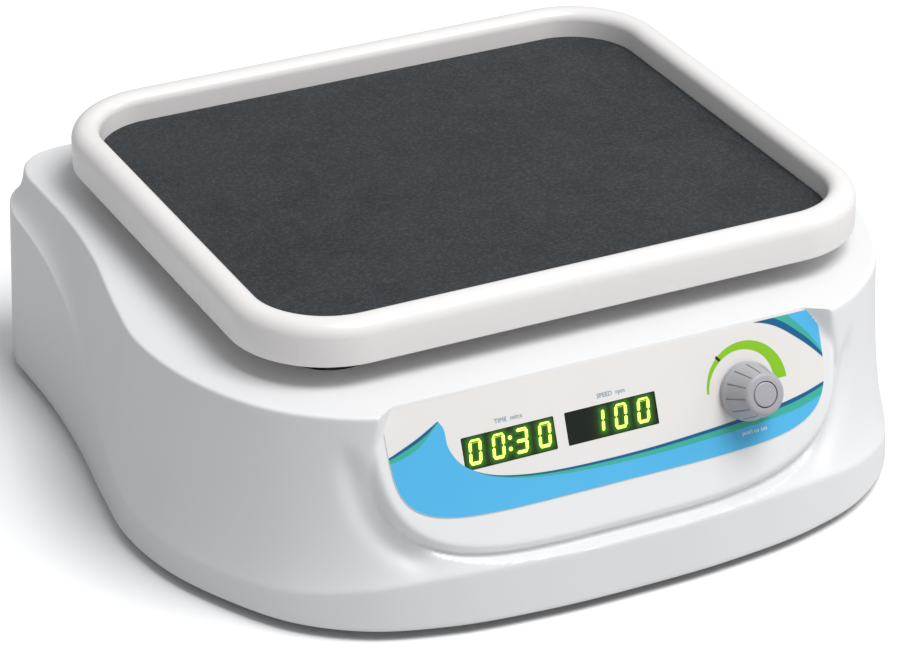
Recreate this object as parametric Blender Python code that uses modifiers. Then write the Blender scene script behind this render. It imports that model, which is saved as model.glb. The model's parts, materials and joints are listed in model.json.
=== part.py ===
# Compact orbital platform shaker for the laboratory bench.
# A moulded housing carries a rimmed platform with a rubber mat. A motor turns an eccentric crank
# through a belt, and three idler cranks keep the platform parallel while it orbits.
#
# Frame: +Z up, -Y is the control panel side, origin under the middle of the object on the bench.
# Every length below is in millimetres and is turned into metres by MM.

import math

import bmesh
import bpy
from mathutils import Matrix, Vector

MM = 0.001
GAP = 0.3  # left between pieces that touch

# Housing
BOTTOM_Z = 4.0
DECK_Z = 83.5
WALL = 2.5
REAR_Y = 138.1
DECK_ROUND = 1.3
PLINTH_DRAFT = 0.035  # how far the plinth leans in, per unit of height; less at the rear
# Half of the plan, from the middle of the front to the middle of the rear.
# Each row: bottom edge x, y; deck edge x, y; height of the crease above the bench.
HALF_PLAN = (
    (0, -140.3, 0, -125.5, 25.0),
    (37, -139.1, 32, -124.4, 25.0),
    (74, -133.6, 66, -121.0, 24.0),
    (100, -124.1, 93, -114.8, 20.5),
    (120, -108.6, 111, -103.8, 16.8),
    (137, -82.0, 128, -84.5, 15.0),
    (148, -54.0, 140, -57.0, 15.5),
    (151.8, -25.0, 144.8, -26.0, 18.5),
    (149, 3.4, 141.8, 1.0, 30.0),
    (143.8, 40.4, 134.4, 42.0, 50.0),
    (140.8, 78.0, 131.4, 78.0, 63.0),
    (140.6, 104, 131.6, 104, 67.5),
    (140.6, 116.1, 131.6, 116.8, 68.8),
    (137.7, 127.1, 128.9, 126.8, 69.6),
    (129.6, 135.2, 121.6, 134.1, 70.2),
    (118.6, REAR_Y, 111.6, 136.8, 70.5),
    (106, REAR_Y, 100, 136.8, 70.5),
    (50, REAR_Y, 48, 136.8, 70.5),
    (0, REAR_Y, 0, 136.8, 70.5),
)

# Control panel: a flat face leaning back, with a D-shaped pod
PANEL_LEAN = math.radians(21)
PANEL_X = -1.3
PANEL_Y = -110.3
POD_HALF_WIDTH = 93.5
POD_HEIGHT = 61.5
POD_ROUND = 3.0
POD_POWER = 3.6  # exponent of the pod's superellipse
MOAT_DEPTH = 3.5
MOAT_BESIDE = 4.6
MOAT_BELOW = 2.3
MOAT_REACH = 34.0
CHEEK_HALF = 82.0  # where the cheeks beside the top of the panel begin
CHEEK_SPREAD = 0.67  # how the cheeks part, per unit down the panel
CHEEK_FLARE = 1.35  # and per unit outwards
PANEL_WALL = 3.0
LABEL_HALF_WIDTH = 87.2
LABEL_HEIGHT = 45.5
LABEL_POWER = 5.4
LABEL_THICKNESS = 0.5
LABEL_TOP = -0.1
DISPLAY_SIZE = (36.6, 12.0)
DISPLAY_X = (-41.1, -0.4)
DISPLAY_DROP = 22.6
BOARD_OUT = -11.4  # front of the board behind the displays

# Control knob
KNOB_X = 53.9
KNOB_DROP = 24.6
KNOB_BASE_RADIUS = 10.8
KNOB_FACE_RADIUS = 7.5
KNOB_LOW = 1.2
KNOB_HIGH = 15.0
KNOB_CAP_RADIUS = 4.6
SHAFT_RADIUS = 3.0
BUSHING_HOLE = 5.0

# Platform
TRAY_HALF_X = 125.0
TRAY_HALF_Y = 109.5
TRAY_CORNER = 38.0
TRAY_LIP_Z = 92.5
TRAY_FLOOR_LOW = 93.3
TRAY_FLOOR_HIGH = 96.3
TRAY_TOP_Z = 109.0
MAT_INSET = 10.8
MAT_TOP_Z = 98.4
POST_X = 85.0
POST_Y = 68.0
POST_RADIUS = 6.0

# Orbital drive
ORBIT_RADIUS = 9.5
SHAFT_Y = 6.9
REST_ANGLE = math.radians(65)
WEIGHT_RADIUS = 38.0
PIN_BOSS_RADIUS = 9.5
MAIN_SHAFT_RADIUS = 6.0
PULLEY_RADIUS = 43.0
MOTOR_PULLEY_RADIUS = 8.6
MOTOR_X = -72.0
MOTOR_Y = 48.0
BELT_THICKNESS = 1.2
BELT_LOW = 45.2
BELT_HIGH = 51.2
IDLER_RADIUS = 72.0
IDLER_PIN_RADIUS = 4.0
IDLER_ANGLES = (90.0, 210.0, 330.0)
CHASSIS_LOW = 38.0
CHASSIS_HIGH = 41.0
CARRIAGE_LOW = 66.0
CARRIAGE_HIGH = 69.0

# Base
PAN_LOW = 4.6
PAN_HIGH = 6.6
PAN_RIM = 12.0
FOOT_PLACES = ((-112.0, -78.0), (112.0, -78.0), (-118.0, 104.0), (118.0, 104.0))
BOSS_PLACES = ((-122.0, -50.0), (122.0, -50.0), (-117.0, 82.0), (117.0, 82.0))
STANDOFF_PLACES = ((-95.0, -55.0), (95.0, -55.0), (-95.0, 76.0), (95.0, 76.0))
BOARD_CENTRE = (57.0, -28.0)
BOARD_SIZE = (56.0, 66.0)
BOARD_LOW = 11.0
SCREW_HOLE = 2.2
VENT_COUNT = 5
VENT_SIZE = (34.0, 3.0, 10.0)
VENT_PLACE = (-62.0, -62.0)
VENT_STEP = 8.0
CORNERS = ((-1, -1), (1, -1), (-1, 1), (1, 1))

# Rear sockets
SWITCH_X = 62.0
JACK_X = -62.0
REAR_Z = 38.0
ROCKER_PIVOT_Y = 136.6
ROCKER_TILT = math.radians(12)


# --- scene -----------------------------------------------------------------------------------

for old in list(bpy.data.objects):
    bpy.data.objects.remove(old, do_unlink=True)

PARTS = bpy.data.collections.new("orbital_platform_shaker")
CUTTERS = bpy.data.collections.new("cutters")
bpy.context.scene.collection.children.link(PARTS)
bpy.context.scene.collection.children.link(CUTTERS)
CUTTERS.hide_render = True


def material(name, colour, roughness, metallic=0.0):
    made = bpy.data.materials.new(name)
    made.use_nodes = True
    shader = made.node_tree.nodes["Principled BSDF"]
    shader.inputs["Base Color"].default_value = (*colour, 1.0)
    shader.inputs["Roughness"].default_value = roughness
    shader.inputs["Metallic"].default_value = metallic
    return made


WHITE_SHELL = material("white_shell", (0.80, 0.80, 0.80), 0.38)
WHITE_TRAY = material("white_tray", (0.86, 0.83, 0.81), 0.30)
DARK_MAT = material("dark_mat", (0.050, 0.058, 0.064), 0.80)
BLACK_RUBBER = material("black_rubber", (0.02, 0.02, 0.02), 0.75)
LABEL_FILM = material("label_film", (0.72, 0.70, 0.69), 0.35)
DISPLAY_BLACK = material("display_black", (0.006, 0.012, 0.006), 0.15)
KNOB_GREY = material("knob_grey", (0.42, 0.42, 0.47), 0.42)
BLACK_PLASTIC = material("black_plastic", (0.02, 0.02, 0.022), 0.45)
BOARD_GREEN = material("board_green", (0.02, 0.12, 0.05), 0.5)
PLATE_STEEL = material("plate_steel", (0.55, 0.56, 0.57), 0.38, 1.0)
SHAFT_STEEL = material("shaft_steel", (0.62, 0.62, 0.63), 0.22, 1.0)
CAST_ALUMINIUM = material("cast_aluminium", (0.66, 0.67, 0.68), 0.45, 1.0)
BRONZE = material("bronze", (0.52, 0.34, 0.14), 0.35, 1.0)


# --- helpers ---------------------------------------------------------------------------------


def frame_at(name, x, y, z, turn_x=0.0, parent=None):
    """An empty that its pieces hang from; a moving piece's empty stands on its joint."""
    empty = bpy.data.objects.new(name, None)
    PARTS.objects.link(empty)
    empty.parent = parent
    empty.location = (x * MM, y * MM, z * MM)
    empty.rotation_euler = (turn_x, 0.0, 0.0)
    return empty


def place(piece, finish, parent=None, at=(0, 0, 0), turn=(0, 0, 0), group=PARTS):
    group.objects.link(piece)
    piece.parent = parent
    piece.location = [value * MM for value in at]
    piece.rotation_euler = turn
    if finish is not None:
        piece.data.materials.append(finish)
    if group is CUTTERS:
        piece.hide_render = True
        piece.display_type = "WIRE"
    return piece


def smooth(mesh, degrees=35):
    mesh.shade_smooth()
    mesh.set_sharp_from_angle(angle=math.radians(degrees))


def from_bmesh(name, form):
    bmesh.ops.recalc_face_normals(form, faces=form.faces[:])
    mesh = bpy.data.meshes.new(name)
    form.to_mesh(mesh)
    form.free()
    smooth(mesh)
    return bpy.data.objects.new(name, mesh)


def loft(name, rings):
    """A closed solid through rings of equally many points, with flat ends."""
    form = bmesh.new()
    rows = [[form.verts.new([value * MM for value in point]) for point in ring] for ring in rings]
    count = len(rows[0])
    for low, high in zip(rows, rows[1:]):
        for i in range(count):
            j = (i + 1) % count
            form.faces.new((low[i], low[j], high[j], high[i]))
    form.faces.new(list(reversed(rows[0])))
    form.faces.new(rows[-1])
    return from_bmesh(name, form)


def cylinder(name, radius, low, high, steps=24):
    form = bmesh.new()
    bmesh.ops.create_cone(
        form,
        cap_ends=True,
        segments=steps,
        radius1=radius * MM,
        radius2=radius * MM,
        depth=(high - low) * MM,
        matrix=Matrix.Translation((0, 0, (low + high) / 2 * MM)),
    )
    return from_bmesh(name, form)


def block(name, size, centre=(0, 0, 0)):
    form = bmesh.new()
    bmesh.ops.create_cube(form, size=1.0)
    bmesh.ops.scale(form, vec=[value * MM for value in size], verts=form.verts[:])
    bmesh.ops.translate(form, vec=[value * MM for value in centre], verts=form.verts[:])
    return from_bmesh(name, form)


def turned(name, profile, steps=32, closed=False):
    """Turns a profile of (radius, height) pairs; it runs down the outer side from the top."""
    mesh = bpy.data.meshes.new(name)
    points = [(radius * MM, 0.0, height * MM) for radius, height in profile]
    edges = [(i, i + 1) for i in range(len(points) - 1)]
    if closed:
        edges.append((len(points) - 1, 0))
    mesh.from_pydata(points, edges, [])
    piece = bpy.data.objects.new(name, mesh)
    screw = piece.modifiers.new("turn", "SCREW")
    screw.axis = "Z"
    screw.steps = steps
    screw.render_steps = steps
    screw.use_merge_vertices = True
    screw.merge_threshold = 0.00001
    screw.use_smooth_shade = True
    return piece


def ring_piece(name, inner, outer, low, high, steps=24):
    return turned(name, ((outer, high), (outer, low), (inner, low), (inner, high)), steps, closed=True)


def plate(name, outlines, low, high):
    """A flat outline, with any holes as further outlines, extruded from low to high."""
    curve = bpy.data.curves.new(name, "CURVE")
    curve.dimensions = "2D"
    curve.fill_mode = "BOTH"
    curve.extrude = (high - low) / 2 * MM
    for outline in outlines:
        spline = curve.splines.new("POLY")
        spline.points.add(len(outline) - 1)
        for point, (x, y) in zip(spline.points, outline):
            point.co = (x * MM, y * MM, 0.0, 1.0)
        spline.use_cyclic_u = True
    guide = bpy.data.objects.new(name + "_outline", curve)
    CUTTERS.objects.link(guide)
    bpy.context.view_layer.update()
    mesh = bpy.data.meshes.new_from_object(guide.evaluated_get(bpy.context.evaluated_depsgraph_get()))
    bpy.data.objects.remove(guide, do_unlink=True)
    form = bmesh.new()
    form.from_mesh(mesh)
    bpy.data.meshes.remove(mesh)
    bmesh.ops.remove_doubles(form, verts=form.verts[:], dist=0.00001)
    bmesh.ops.translate(form, vec=(0, 0, (low + high) / 2 * MM), verts=form.verts[:])
    return from_bmesh(name, form)


def cut(piece, tool, operation="DIFFERENCE"):
    boolean = piece.modifiers.new(tool.name, "BOOLEAN")
    boolean.operation = operation
    boolean.solver = "EXACT"
    boolean.object = tool


def circle(radius, steps=24, centre=(0.0, 0.0)):
    turns = [math.tau * i / steps for i in range(steps)]
    return [(centre[0] + radius * math.cos(a), centre[1] + radius * math.sin(a)) for a in turns]


def rounded_rectangle(half_x, half_y, radius, steps=7):
    points = []
    for quarter, (sx, sy) in enumerate(((1, 1), (-1, 1), (-1, -1), (1, -1))):
        for step in range(steps + 1):
            a = math.pi / 2 * (quarter + step / steps)
            x = sx * (half_x - radius) + radius * math.cos(a)
            y = sy * (half_y - radius) + radius * math.sin(a)
            points.append((x, y))
    return points


def at_height(outline, z):
    return [(x, y, z) for x, y in outline]


def moved_in(outline, distance):
    """The outline moved inwards by one distance, or by one for each point; it runs anticlockwise."""
    count = len(outline)
    distances = [distance] * count if isinstance(distance, (int, float)) else distance
    result = []
    for i in range(count):
        before = Vector(outline[i - 1][:2])
        after = Vector(outline[(i + 1) % count][:2])
        along = (after - before).normalized()
        inward = Vector((-along.y, along.x))
        point = Vector(outline[i][:2]) + inward * distances[i]
        result.append((point.x, point.y, *outline[i][2:]))
    return result


# --- housing ---------------------------------------------------------------------------------


def half_plan_samples(per_span=3):
    """Smooth curve through the half plan, as rows of the same five values."""
    rows = [Vector(row) for row in HALF_PLAN]
    mirror = Matrix.Diagonal((-1, 1, -1, 1)).to_4x4()

    def across(row):
        flipped = mirror @ Vector(row[:4])
        return Vector((*flipped, row[4]))

    rows = [across(rows[1]), *rows, across(rows[-2])]
    steps = [(Vector(b[:2]) - Vector(a[:2])).length for a, b in zip(rows, rows[1:])]
    slopes = [(b - a) / step for a, b, step in zip(rows, rows[1:], steps)]
    tangents = [None]
    for i in range(1, len(rows) - 1):
        before, after = steps[i - 1], steps[i]
        tangents.append((slopes[i - 1] * after + slopes[i] * before) / (before + after))
    samples = []
    for i in range(1, len(rows) - 2):
        for step in range(per_span):
            t = step / per_span
            h00 = (1 + 2 * t) * (1 - t) ** 2
            h10 = t * (1 - t) ** 2
            h01 = t * t * (3 - 2 * t)
            h11 = t * t * (t - 1)
            samples.append(
                rows[i] * h00
                + tangents[i] * (h10 * steps[i])
                + rows[i + 1] * h01
                + tangents[i + 1] * (h11 * steps[i])
            )
    samples.append(rows[-2])
    return samples


def full_plan():
    """Bottom outline, deck outline and crease heights round the whole housing, anticlockwise."""
    right = half_plan_samples()
    left = [Vector((-row[0], row[1], -row[2], row[3], row[4])) for row in reversed(right[1:-1])]
    rows = right + left
    bottom = [(row[0], row[1]) for row in rows]
    deck = [(row[2], row[3]) for row in rows]
    crease = [row[4] for row in rows]
    return bottom, deck, crease


def body_rings(bottom, deck, crease, low, deck_z, thickness):
    """Rings from the bottom edge over the plinth and the hollow flank up to the deck."""
    leans = [
        PLINTH_DRAFT * (z - BOTTOM_Z) * min(1.0, max(0.25, (REAR_Y - y) / 12.0))
        for (x, y), z in zip(bottom, crease)
    ]
    bottom = moved_in(bottom, thickness)
    deck = moved_in(deck, thickness)
    plinth = [(x, y, z - thickness) for (x, y), z in zip(bottom, crease)]
    leaning = moved_in(plinth, leans)
    rings = [at_height(bottom, low), leaning]
    edge_z = deck_z - DECK_ROUND
    for t in (0.14, 0.32, 0.54, 0.78):
        across = 3 * (1 - t) ** 2 * t * 0.58 + 3 * (1 - t) * t * t * 0.88 + t**3
        upward = 3 * (1 - t) ** 2 * t * 0.20 + 3 * (1 - t) * t * t * 0.55 + t**3
        ring = []
        for (x0, y0, z0), (x1, y1) in zip(leaning, deck):
            ring.append((x0 + (x1 - x0) * across, y0 + (y1 - y0) * across, z0 + (edge_z - z0) * upward))
        rings.append(ring)
    rings.append(at_height(deck, edge_z))
    rings.append(at_height(moved_in(deck, DECK_ROUND * 0.35), deck_z - DECK_ROUND * 0.3))
    rings.append(at_height(moved_in(deck, DECK_ROUND), deck_z))
    return rings


def panel_outline(half_width, height, top=0.0, steps=28, power=POD_POWER):
    """D-shaped outline on the panel: straight sides, superellipse below, flat at the top."""
    points = []
    for i in range(steps + 1):
        a = math.pi * i / steps
        x = math.copysign(abs(math.cos(a)) ** (2 / power), math.cos(a)) * half_width
        y = -(math.sin(a) ** (2 / power)) * height if 0 < i < steps else 0.0
        points.append((-x, min(y, top)))
    if top > 0:
        points = [(-half_width, top), *points, (half_width, top)]
    return points


def moat_rings(extra):
    """The space cut away in front of the panel; extra widens it for the wall behind."""
    half_width = POD_HALF_WIDTH + MOAT_BESIDE + extra
    height = POD_HEIGHT + MOAT_BELOW + extra
    full_out = (half_width - CHEEK_HALF - extra) / CHEEK_FLARE
    rings = []
    for out in (-MOAT_DEPTH - extra, full_out, MOAT_REACH):
        outline = []
        for x, y in panel_outline(half_width, height, top=60.0):
            cheek = CHEEK_HALF + extra + max(0.0, -y) * CHEEK_SPREAD + out * CHEEK_FLARE
            outline.append((math.copysign(min(abs(x), cheek), x), y, out))
        rings.append(outline)
    return rings


base_frame = frame_at("base_frame", 0, 0, 0)
panel_frame = frame_at(
    "panel_frame", PANEL_X, PANEL_Y, DECK_Z, turn_x=math.pi / 2 - PANEL_LEAN, parent=base_frame
)

bottom_line, deck_line, crease_line = full_plan()
housing = place(
    loft("housing", body_rings(bottom_line, deck_line, crease_line, BOTTOM_Z, DECK_Z, 0.0)),
    WHITE_SHELL,
    base_frame,
)
hollow = place(
    loft("hollow", body_rings(bottom_line, deck_line, crease_line, -5.0, DECK_Z - WALL, WALL)),
    None,
    base_frame,
    group=CUTTERS,
)

moat = place(loft("moat", moat_rings(0.0)), None, panel_frame, group=CUTTERS)
moat_wall = place(loft("moat_wall", moat_rings(WALL)), None, panel_frame, group=CUTTERS)

pod_outline = panel_outline(POD_HALF_WIDTH, POD_HEIGHT, top=-0.05)
pod_rings = [at_height(pod_outline, -26.0), at_height(pod_outline, -POD_ROUND)]
for step in (1, 2, 3):
    turn = math.pi / 2 * step / 3
    shrink = POD_ROUND * (1 - math.cos(turn))
    rounded = panel_outline(POD_HALF_WIDTH - shrink, POD_HEIGHT - shrink, top=-0.05)
    pod_rings.append(at_height(rounded, -POD_ROUND * (1 - math.sin(turn))))
pod = place(loft("pod", pod_rings), None, panel_frame, group=CUTTERS)

inner_outline = panel_outline(POD_HALF_WIDTH - PANEL_WALL, POD_HEIGHT - PANEL_WALL, top=-4.5)
pod_hollow = place(
    loft("pod_hollow", [at_height(inner_outline, -27.0), at_height(inner_outline, -PANEL_WALL)]),
    None,
    panel_frame,
    group=CUTTERS,
)
cut(hollow, moat_wall)
cut(hollow, pod_hollow, "UNION")

cut(housing, moat)
cut(housing, pod, "UNION")
cut(housing, hollow)

for number, (x, y) in enumerate(BOSS_PLACES, 1):
    boss = cylinder(f"boss_{number}", 4.6, 7.0, DECK_Z - 1.2, 16)
    bore = cylinder(f"boss_bore_{number}", 1.9, 5.0, 24.0, 12)
    place(boss, None, base_frame, (x, y, 0), group=CUTTERS)
    place(bore, None, base_frame, (x, y, 0), group=CUTTERS)
    cut(housing, boss, "UNION")
    cut(housing, bore)

for number, (sx, sy) in enumerate(CORNERS, 1):
    hole = cylinder(f"deck_hole_{number}", POST_RADIUS + ORBIT_RADIUS + 2.0, DECK_Z - 8, DECK_Z + 4, 28)
    place(hole, None, base_frame, (sx * POST_X, SHAFT_Y + sy * POST_Y, 0), group=CUTTERS)
    cut(housing, hole)

recess_outline = panel_outline(LABEL_HALF_WIDTH + GAP, LABEL_HEIGHT + GAP, top=-0.6, power=LABEL_POWER)
recess_heights = (LABEL_TOP - LABEL_THICKNESS - GAP, 5.0)
label_recess = loft("label_recess", [at_height(recess_outline, z) for z in recess_heights])
place(label_recess, None, panel_frame, group=CUTTERS)
cut(housing, label_recess)

for number, x in enumerate(DISPLAY_X, 1):
    window = block(f"window_{number}", (DISPLAY_SIZE[0] + 2 * GAP, DISPLAY_SIZE[1] + 2 * GAP, 12.0))
    place(window, None, panel_frame, (x, -DISPLAY_DROP, 0), group=CUTTERS)
    cut(housing, window)

knob_hole = cylinder("knob_hole", BUSHING_HOLE, -8.0, 6.0, 24)
place(knob_hole, None, panel_frame, (KNOB_X, -KNOB_DROP, 0), group=CUTTERS)
cut(housing, knob_hole)

switch_hole = block("switch_hole", (12.6, 20.0, 18.6))
place(switch_hole, None, base_frame, (SWITCH_X, REAR_Y, REAR_Z), group=CUTTERS)
cut(housing, switch_hole)
jack_hole = cylinder("jack_hole", 5.8, -10, 10, 24)
jack_turn = (math.pi / 2, 0, 0)
place(jack_hole, None, base_frame, (JACK_X, REAR_Y, REAR_Z), turn=jack_turn, group=CUTTERS)
cut(housing, jack_hole)


# --- base pan, feet and screws -----------------------------------------------------------------

pan_edge = moved_in(bottom_line, WALL + 0.8)
pan_inner = moved_in(bottom_line, WALL + 2.6)
base_pan = loft("base_pan", [at_height(pan_edge, PAN_LOW), at_height(pan_edge, PAN_RIM)])
place(base_pan, PLATE_STEEL, base_frame)
pan_hollow = loft("pan_hollow", [at_height(pan_inner, PAN_HIGH), at_height(pan_inner, 30.0)])
place(pan_hollow, None, base_frame, group=CUTTERS)
cut(base_pan, pan_hollow)
for number, (sx, sy) in enumerate(CORNERS, 1):
    support = cylinder(f"board_support_{number}", 3.0, PAN_LOW + 0.5, BOARD_LOW - GAP, 12)
    x = BOARD_CENTRE[0] + sx * (BOARD_SIZE[0] / 2 - 4)
    y = BOARD_CENTRE[1] + sy * (BOARD_SIZE[1] / 2 - 4)
    place(support, None, base_frame, (x, y, 0), group=CUTTERS)
    cut(base_pan, support, "UNION")
for number in range(VENT_COUNT):
    vent = block(f"vent_{number + 1}", VENT_SIZE, (0, 0, PAN_LOW))
    place(vent, None, base_frame, (VENT_PLACE[0], VENT_PLACE[1] + VENT_STEP * number, 0), group=CUTTERS)
    cut(base_pan, vent)
for number, (x, y) in enumerate(BOSS_PLACES, 1):
    hole = cylinder(f"pan_hole_{number}", SCREW_HOLE, 0.0, 14.0, 12)
    place(hole, None, base_frame, (x, y, 0), group=CUTTERS)
    cut(base_pan, hole)
    screw = ((0, 20.0), (1.6, 20.0), (1.6, 4.3), (3.5, 4.3), (3.5, 2.8), (3.2, 2.4), (0, 2.4))
    place(turned(f"pan_screw_{number}", screw, 16), SHAFT_STEEL, base_frame, (x, y, 0))

for number, (x, y) in enumerate(FOOT_PLACES, 1):
    foot = turned(f"foot_{number}", ((0, 4.3), (9.5, 4.3), (11.0, 1.0), (10.2, 0), (0, 0)), 24)
    place(foot, BLACK_RUBBER, base_frame, (x, y, 0))


# --- control panel -----------------------------------------------------------------------------

label_edge = panel_outline(LABEL_HALF_WIDTH, LABEL_HEIGHT, top=-0.9, power=LABEL_POWER)
label_heights = (LABEL_TOP - LABEL_THICKNESS, LABEL_TOP)
label = loft("control_label", [at_height(label_edge, z) for z in label_heights])
place(label, LABEL_FILM, panel_frame)
for number, x in enumerate(DISPLAY_X, 1):
    opening = block(f"label_window_{number}", (DISPLAY_SIZE[0] + 2 * GAP, DISPLAY_SIZE[1] + 2 * GAP, 6.0))
    place(opening, None, panel_frame, (x, -DISPLAY_DROP, 0), group=CUTTERS)
    cut(label, opening)
label_hole = cylinder("label_hole", BUSHING_HOLE, -6.0, 6.0, 24)
place(label_hole, None, panel_frame, (KNOB_X, -KNOB_DROP, 0), group=CUTTERS)
cut(label, label_hole)

for name, x in zip(("time_display", "speed_display"), DISPLAY_X):
    low = BOARD_OUT + GAP
    display = block(name, (*DISPLAY_SIZE, LABEL_TOP - low), (0, 0, (LABEL_TOP + low) / 2))
    place(display, DISPLAY_BLACK, panel_frame, (x, -DISPLAY_DROP, 0))
display_board = block("display_board", (140.0, 36.0, 1.6), (0, 0, BOARD_OUT - 0.8))
place(display_board, BOARD_GREEN, panel_frame, (-2.0, -25.0, 0))

knob_frame = frame_at("knob_frame", KNOB_X, -KNOB_DROP, 0, parent=panel_frame)
encoder = block("encoder_body", (13.4, 12.4, 5.6), (0, 0, BOARD_OUT + GAP + 2.8))
place(encoder, BLACK_PLASTIC, knob_frame)
bushing = cylinder("encoder_bushing", 4.4, -6.0, -0.9, 20)
place(bushing, None, knob_frame, group=CUTTERS)
encoder_bore = cylinder("encoder_bore", SHAFT_RADIUS + GAP, -10.6, 2.0, 20)
place(encoder_bore, None, knob_frame, group=CUTTERS)
cut(encoder, bushing, "UNION")
cut(encoder, encoder_bore)
place(cylinder("encoder_plunger", 2.6, -9.6, -5.0, 16), BLACK_PLASTIC, knob_frame)
shaft = cylinder("encoder_shaft", SHAFT_RADIUS, -4.7, KNOB_HIGH - 4.7, 20)
place(shaft, SHAFT_STEEL, knob_frame)
knob = turned(
    "knob",
    (
        (0, KNOB_HIGH - 2.4),
        (KNOB_CAP_RADIUS + GAP, KNOB_HIGH - 2.4),
        (KNOB_CAP_RADIUS + GAP, KNOB_HIGH - 0.2),
        (KNOB_FACE_RADIUS - 1.0, KNOB_HIGH),
        (KNOB_FACE_RADIUS, KNOB_HIGH - 1.0),
        (KNOB_BASE_RADIUS - 0.5, KNOB_LOW + 4.5),
        (KNOB_BASE_RADIUS, KNOB_LOW + 3.0),
        (KNOB_BASE_RADIUS, KNOB_LOW),
        (SHAFT_RADIUS + GAP, KNOB_LOW),
        (SHAFT_RADIUS + GAP, KNOB_HIGH - 4.4),
        (0, KNOB_HIGH - 4.4),
    ),
    36,
)
place(knob, KNOB_GREY, knob_frame)
cap = turned(
    "knob_cap",
    (
        (0, KNOB_HIGH - 0.1),
        (KNOB_CAP_RADIUS - 0.6, KNOB_HIGH - 0.1),
        (KNOB_CAP_RADIUS, KNOB_HIGH - 0.6),
        (KNOB_CAP_RADIUS, KNOB_HIGH - 2.1),
        (0, KNOB_HIGH - 2.1),
    ),
    24,
)
place(cap, KNOB_GREY, knob_frame)


# --- chassis and bearings ------------------------------------------------------------------------

drive_frame = frame_at("drive_frame", 0, SHAFT_Y, 0, parent=base_frame)
motor_frame = frame_at("motor_frame", MOTOR_X, MOTOR_Y, 0, parent=base_frame)
idler_places = [
    (IDLER_RADIUS * math.cos(math.radians(a)), SHAFT_Y + IDLER_RADIUS * math.sin(math.radians(a)))
    for a in IDLER_ANGLES
]
idler_frames = [
    frame_at(f"idler_frame_{number}", x, y, 0, parent=base_frame)
    for number, (x, y) in enumerate(idler_places, 1)
]

chassis_outline = [(x, y + 10.0) for x, y in rounded_rectangle(103.0, 74.0, 10.0, 4)]
chassis_holes = [circle(14.6, 24, (0.0, SHAFT_Y)), circle(10.0, 20, (MOTOR_X, MOTOR_Y))]
chassis_holes += [circle(11.3, 24, spot) for spot in idler_places]
chassis = plate("chassis_plate", [chassis_outline, *chassis_holes], CHASSIS_LOW, CHASSIS_HIGH)
place(chassis, PLATE_STEEL, base_frame)
for number, (x, y) in enumerate(STANDOFF_PLACES, 1):
    standoff = cylinder(f"standoff_{number}", 5.0, PAN_HIGH + GAP, CHASSIS_LOW - GAP, 6)
    place(standoff, SHAFT_STEEL, base_frame, (x, y, 0))

bearing_housing = turned(
    "bearing_housing",
    (
        (31.0, CHASSIS_LOW - GAP),
        (31.0, 33.7),
        (19.0, 33.0),
        (18.5, 13.0),
        (12.0, 13.0),
        (12.0, 15.0),
        (14.0, 15.0),
        (14.0, 23.5),
        (12.0, 23.5),
        (12.0, 28.5),
        (14.0, 28.5),
        (14.0, CHASSIS_LOW - GAP),
    ),
    28,
    closed=True,
)
place(bearing_housing, CAST_ALUMINIUM, drive_frame)
for name, low in (("lower_bearing", 15.3), ("upper_bearing", 28.8)):
    place(ring_piece(name, MAIN_SHAFT_RADIUS + GAP, 13.7, low, low + 8.0), SHAFT_STEEL, drive_frame)


# --- crank ---------------------------------------------------------------------------------------

place(
    turned(
        "main_shaft",
        (
            (0, 60.0),
            (MAIN_SHAFT_RADIUS - 0.6, 60.0),
            (MAIN_SHAFT_RADIUS, 59.4),
            (MAIN_SHAFT_RADIUS, 12.0),
            (MAIN_SHAFT_RADIUS - 0.6, 11.4),
            (0, 11.4),
        ),
        24,
    ),
    SHAFT_STEEL,
    drive_frame,
)
drive_pulley = turned(
    "drive_pulley",
    (
        (PULLEY_RADIUS + 2.2, 53.2),
        (PULLEY_RADIUS + 2.2, 52.4),
        (PULLEY_RADIUS, 51.6),
        (PULLEY_RADIUS, 44.8),
        (PULLEY_RADIUS + 2.2, 44.0),
        (PULLEY_RADIUS + 2.2, 43.2),
        (PULLEY_RADIUS - 4.0, 43.2),
        (PULLEY_RADIUS - 4.0, 46.4),
        (13.0, 46.4),
        (13.0, 42.4),
        (MAIN_SHAFT_RADIUS + GAP, 42.4),
        (MAIN_SHAFT_RADIUS + GAP, 54.4),
        (13.0, 54.4),
        (13.0, 50.4),
        (PULLEY_RADIUS - 4.0, 50.4),
        (PULLEY_RADIUS - 4.0, 53.2),
    ),
    32,
    closed=True,
)
place(drive_pulley, CAST_ALUMINIUM, drive_frame)

pin_x = ORBIT_RADIUS * math.cos(REST_ANGLE)
pin_y = ORBIT_RADIUS * math.sin(REST_ANGLE)
weight_outline = []
for step in range(25):
    a = REST_ANGLE + math.pi / 2 + math.radians(10) + math.radians(160) * step / 24
    weight_outline.append((WEIGHT_RADIUS * math.cos(a), WEIGHT_RADIUS * math.sin(a)))
for step in range(13):
    a = REST_ANGLE - math.pi / 2 + math.pi * step / 12
    weight_outline.append((pin_x + PIN_BOSS_RADIUS * math.cos(a), pin_y + PIN_BOSS_RADIUS * math.sin(a)))
eccentric = place(plate("eccentric_weight", [weight_outline], 54.9, 63.2), CAST_ALUMINIUM, drive_frame)
shaft_bore = cylinder("eccentric_bore", MAIN_SHAFT_RADIUS + GAP, 50.0, 60.4, 24)
place(shaft_bore, None, drive_frame, group=CUTTERS)
cut(eccentric, shaft_bore)

platform_frame = frame_at("platform_frame", pin_x, pin_y, 0, parent=drive_frame)
crank_pin = turned(
    "crank_pin",
    ((0, 76.0), (4.4, 76.0), (5.0, 75.4), (5.0, 65.6), (6.4, 65.6), (6.4, 63.5), (0, 63.5)),
    20,
)
place(crank_pin, SHAFT_STEEL, platform_frame)


# --- motor and belt --------------------------------------------------------------------------------

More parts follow.
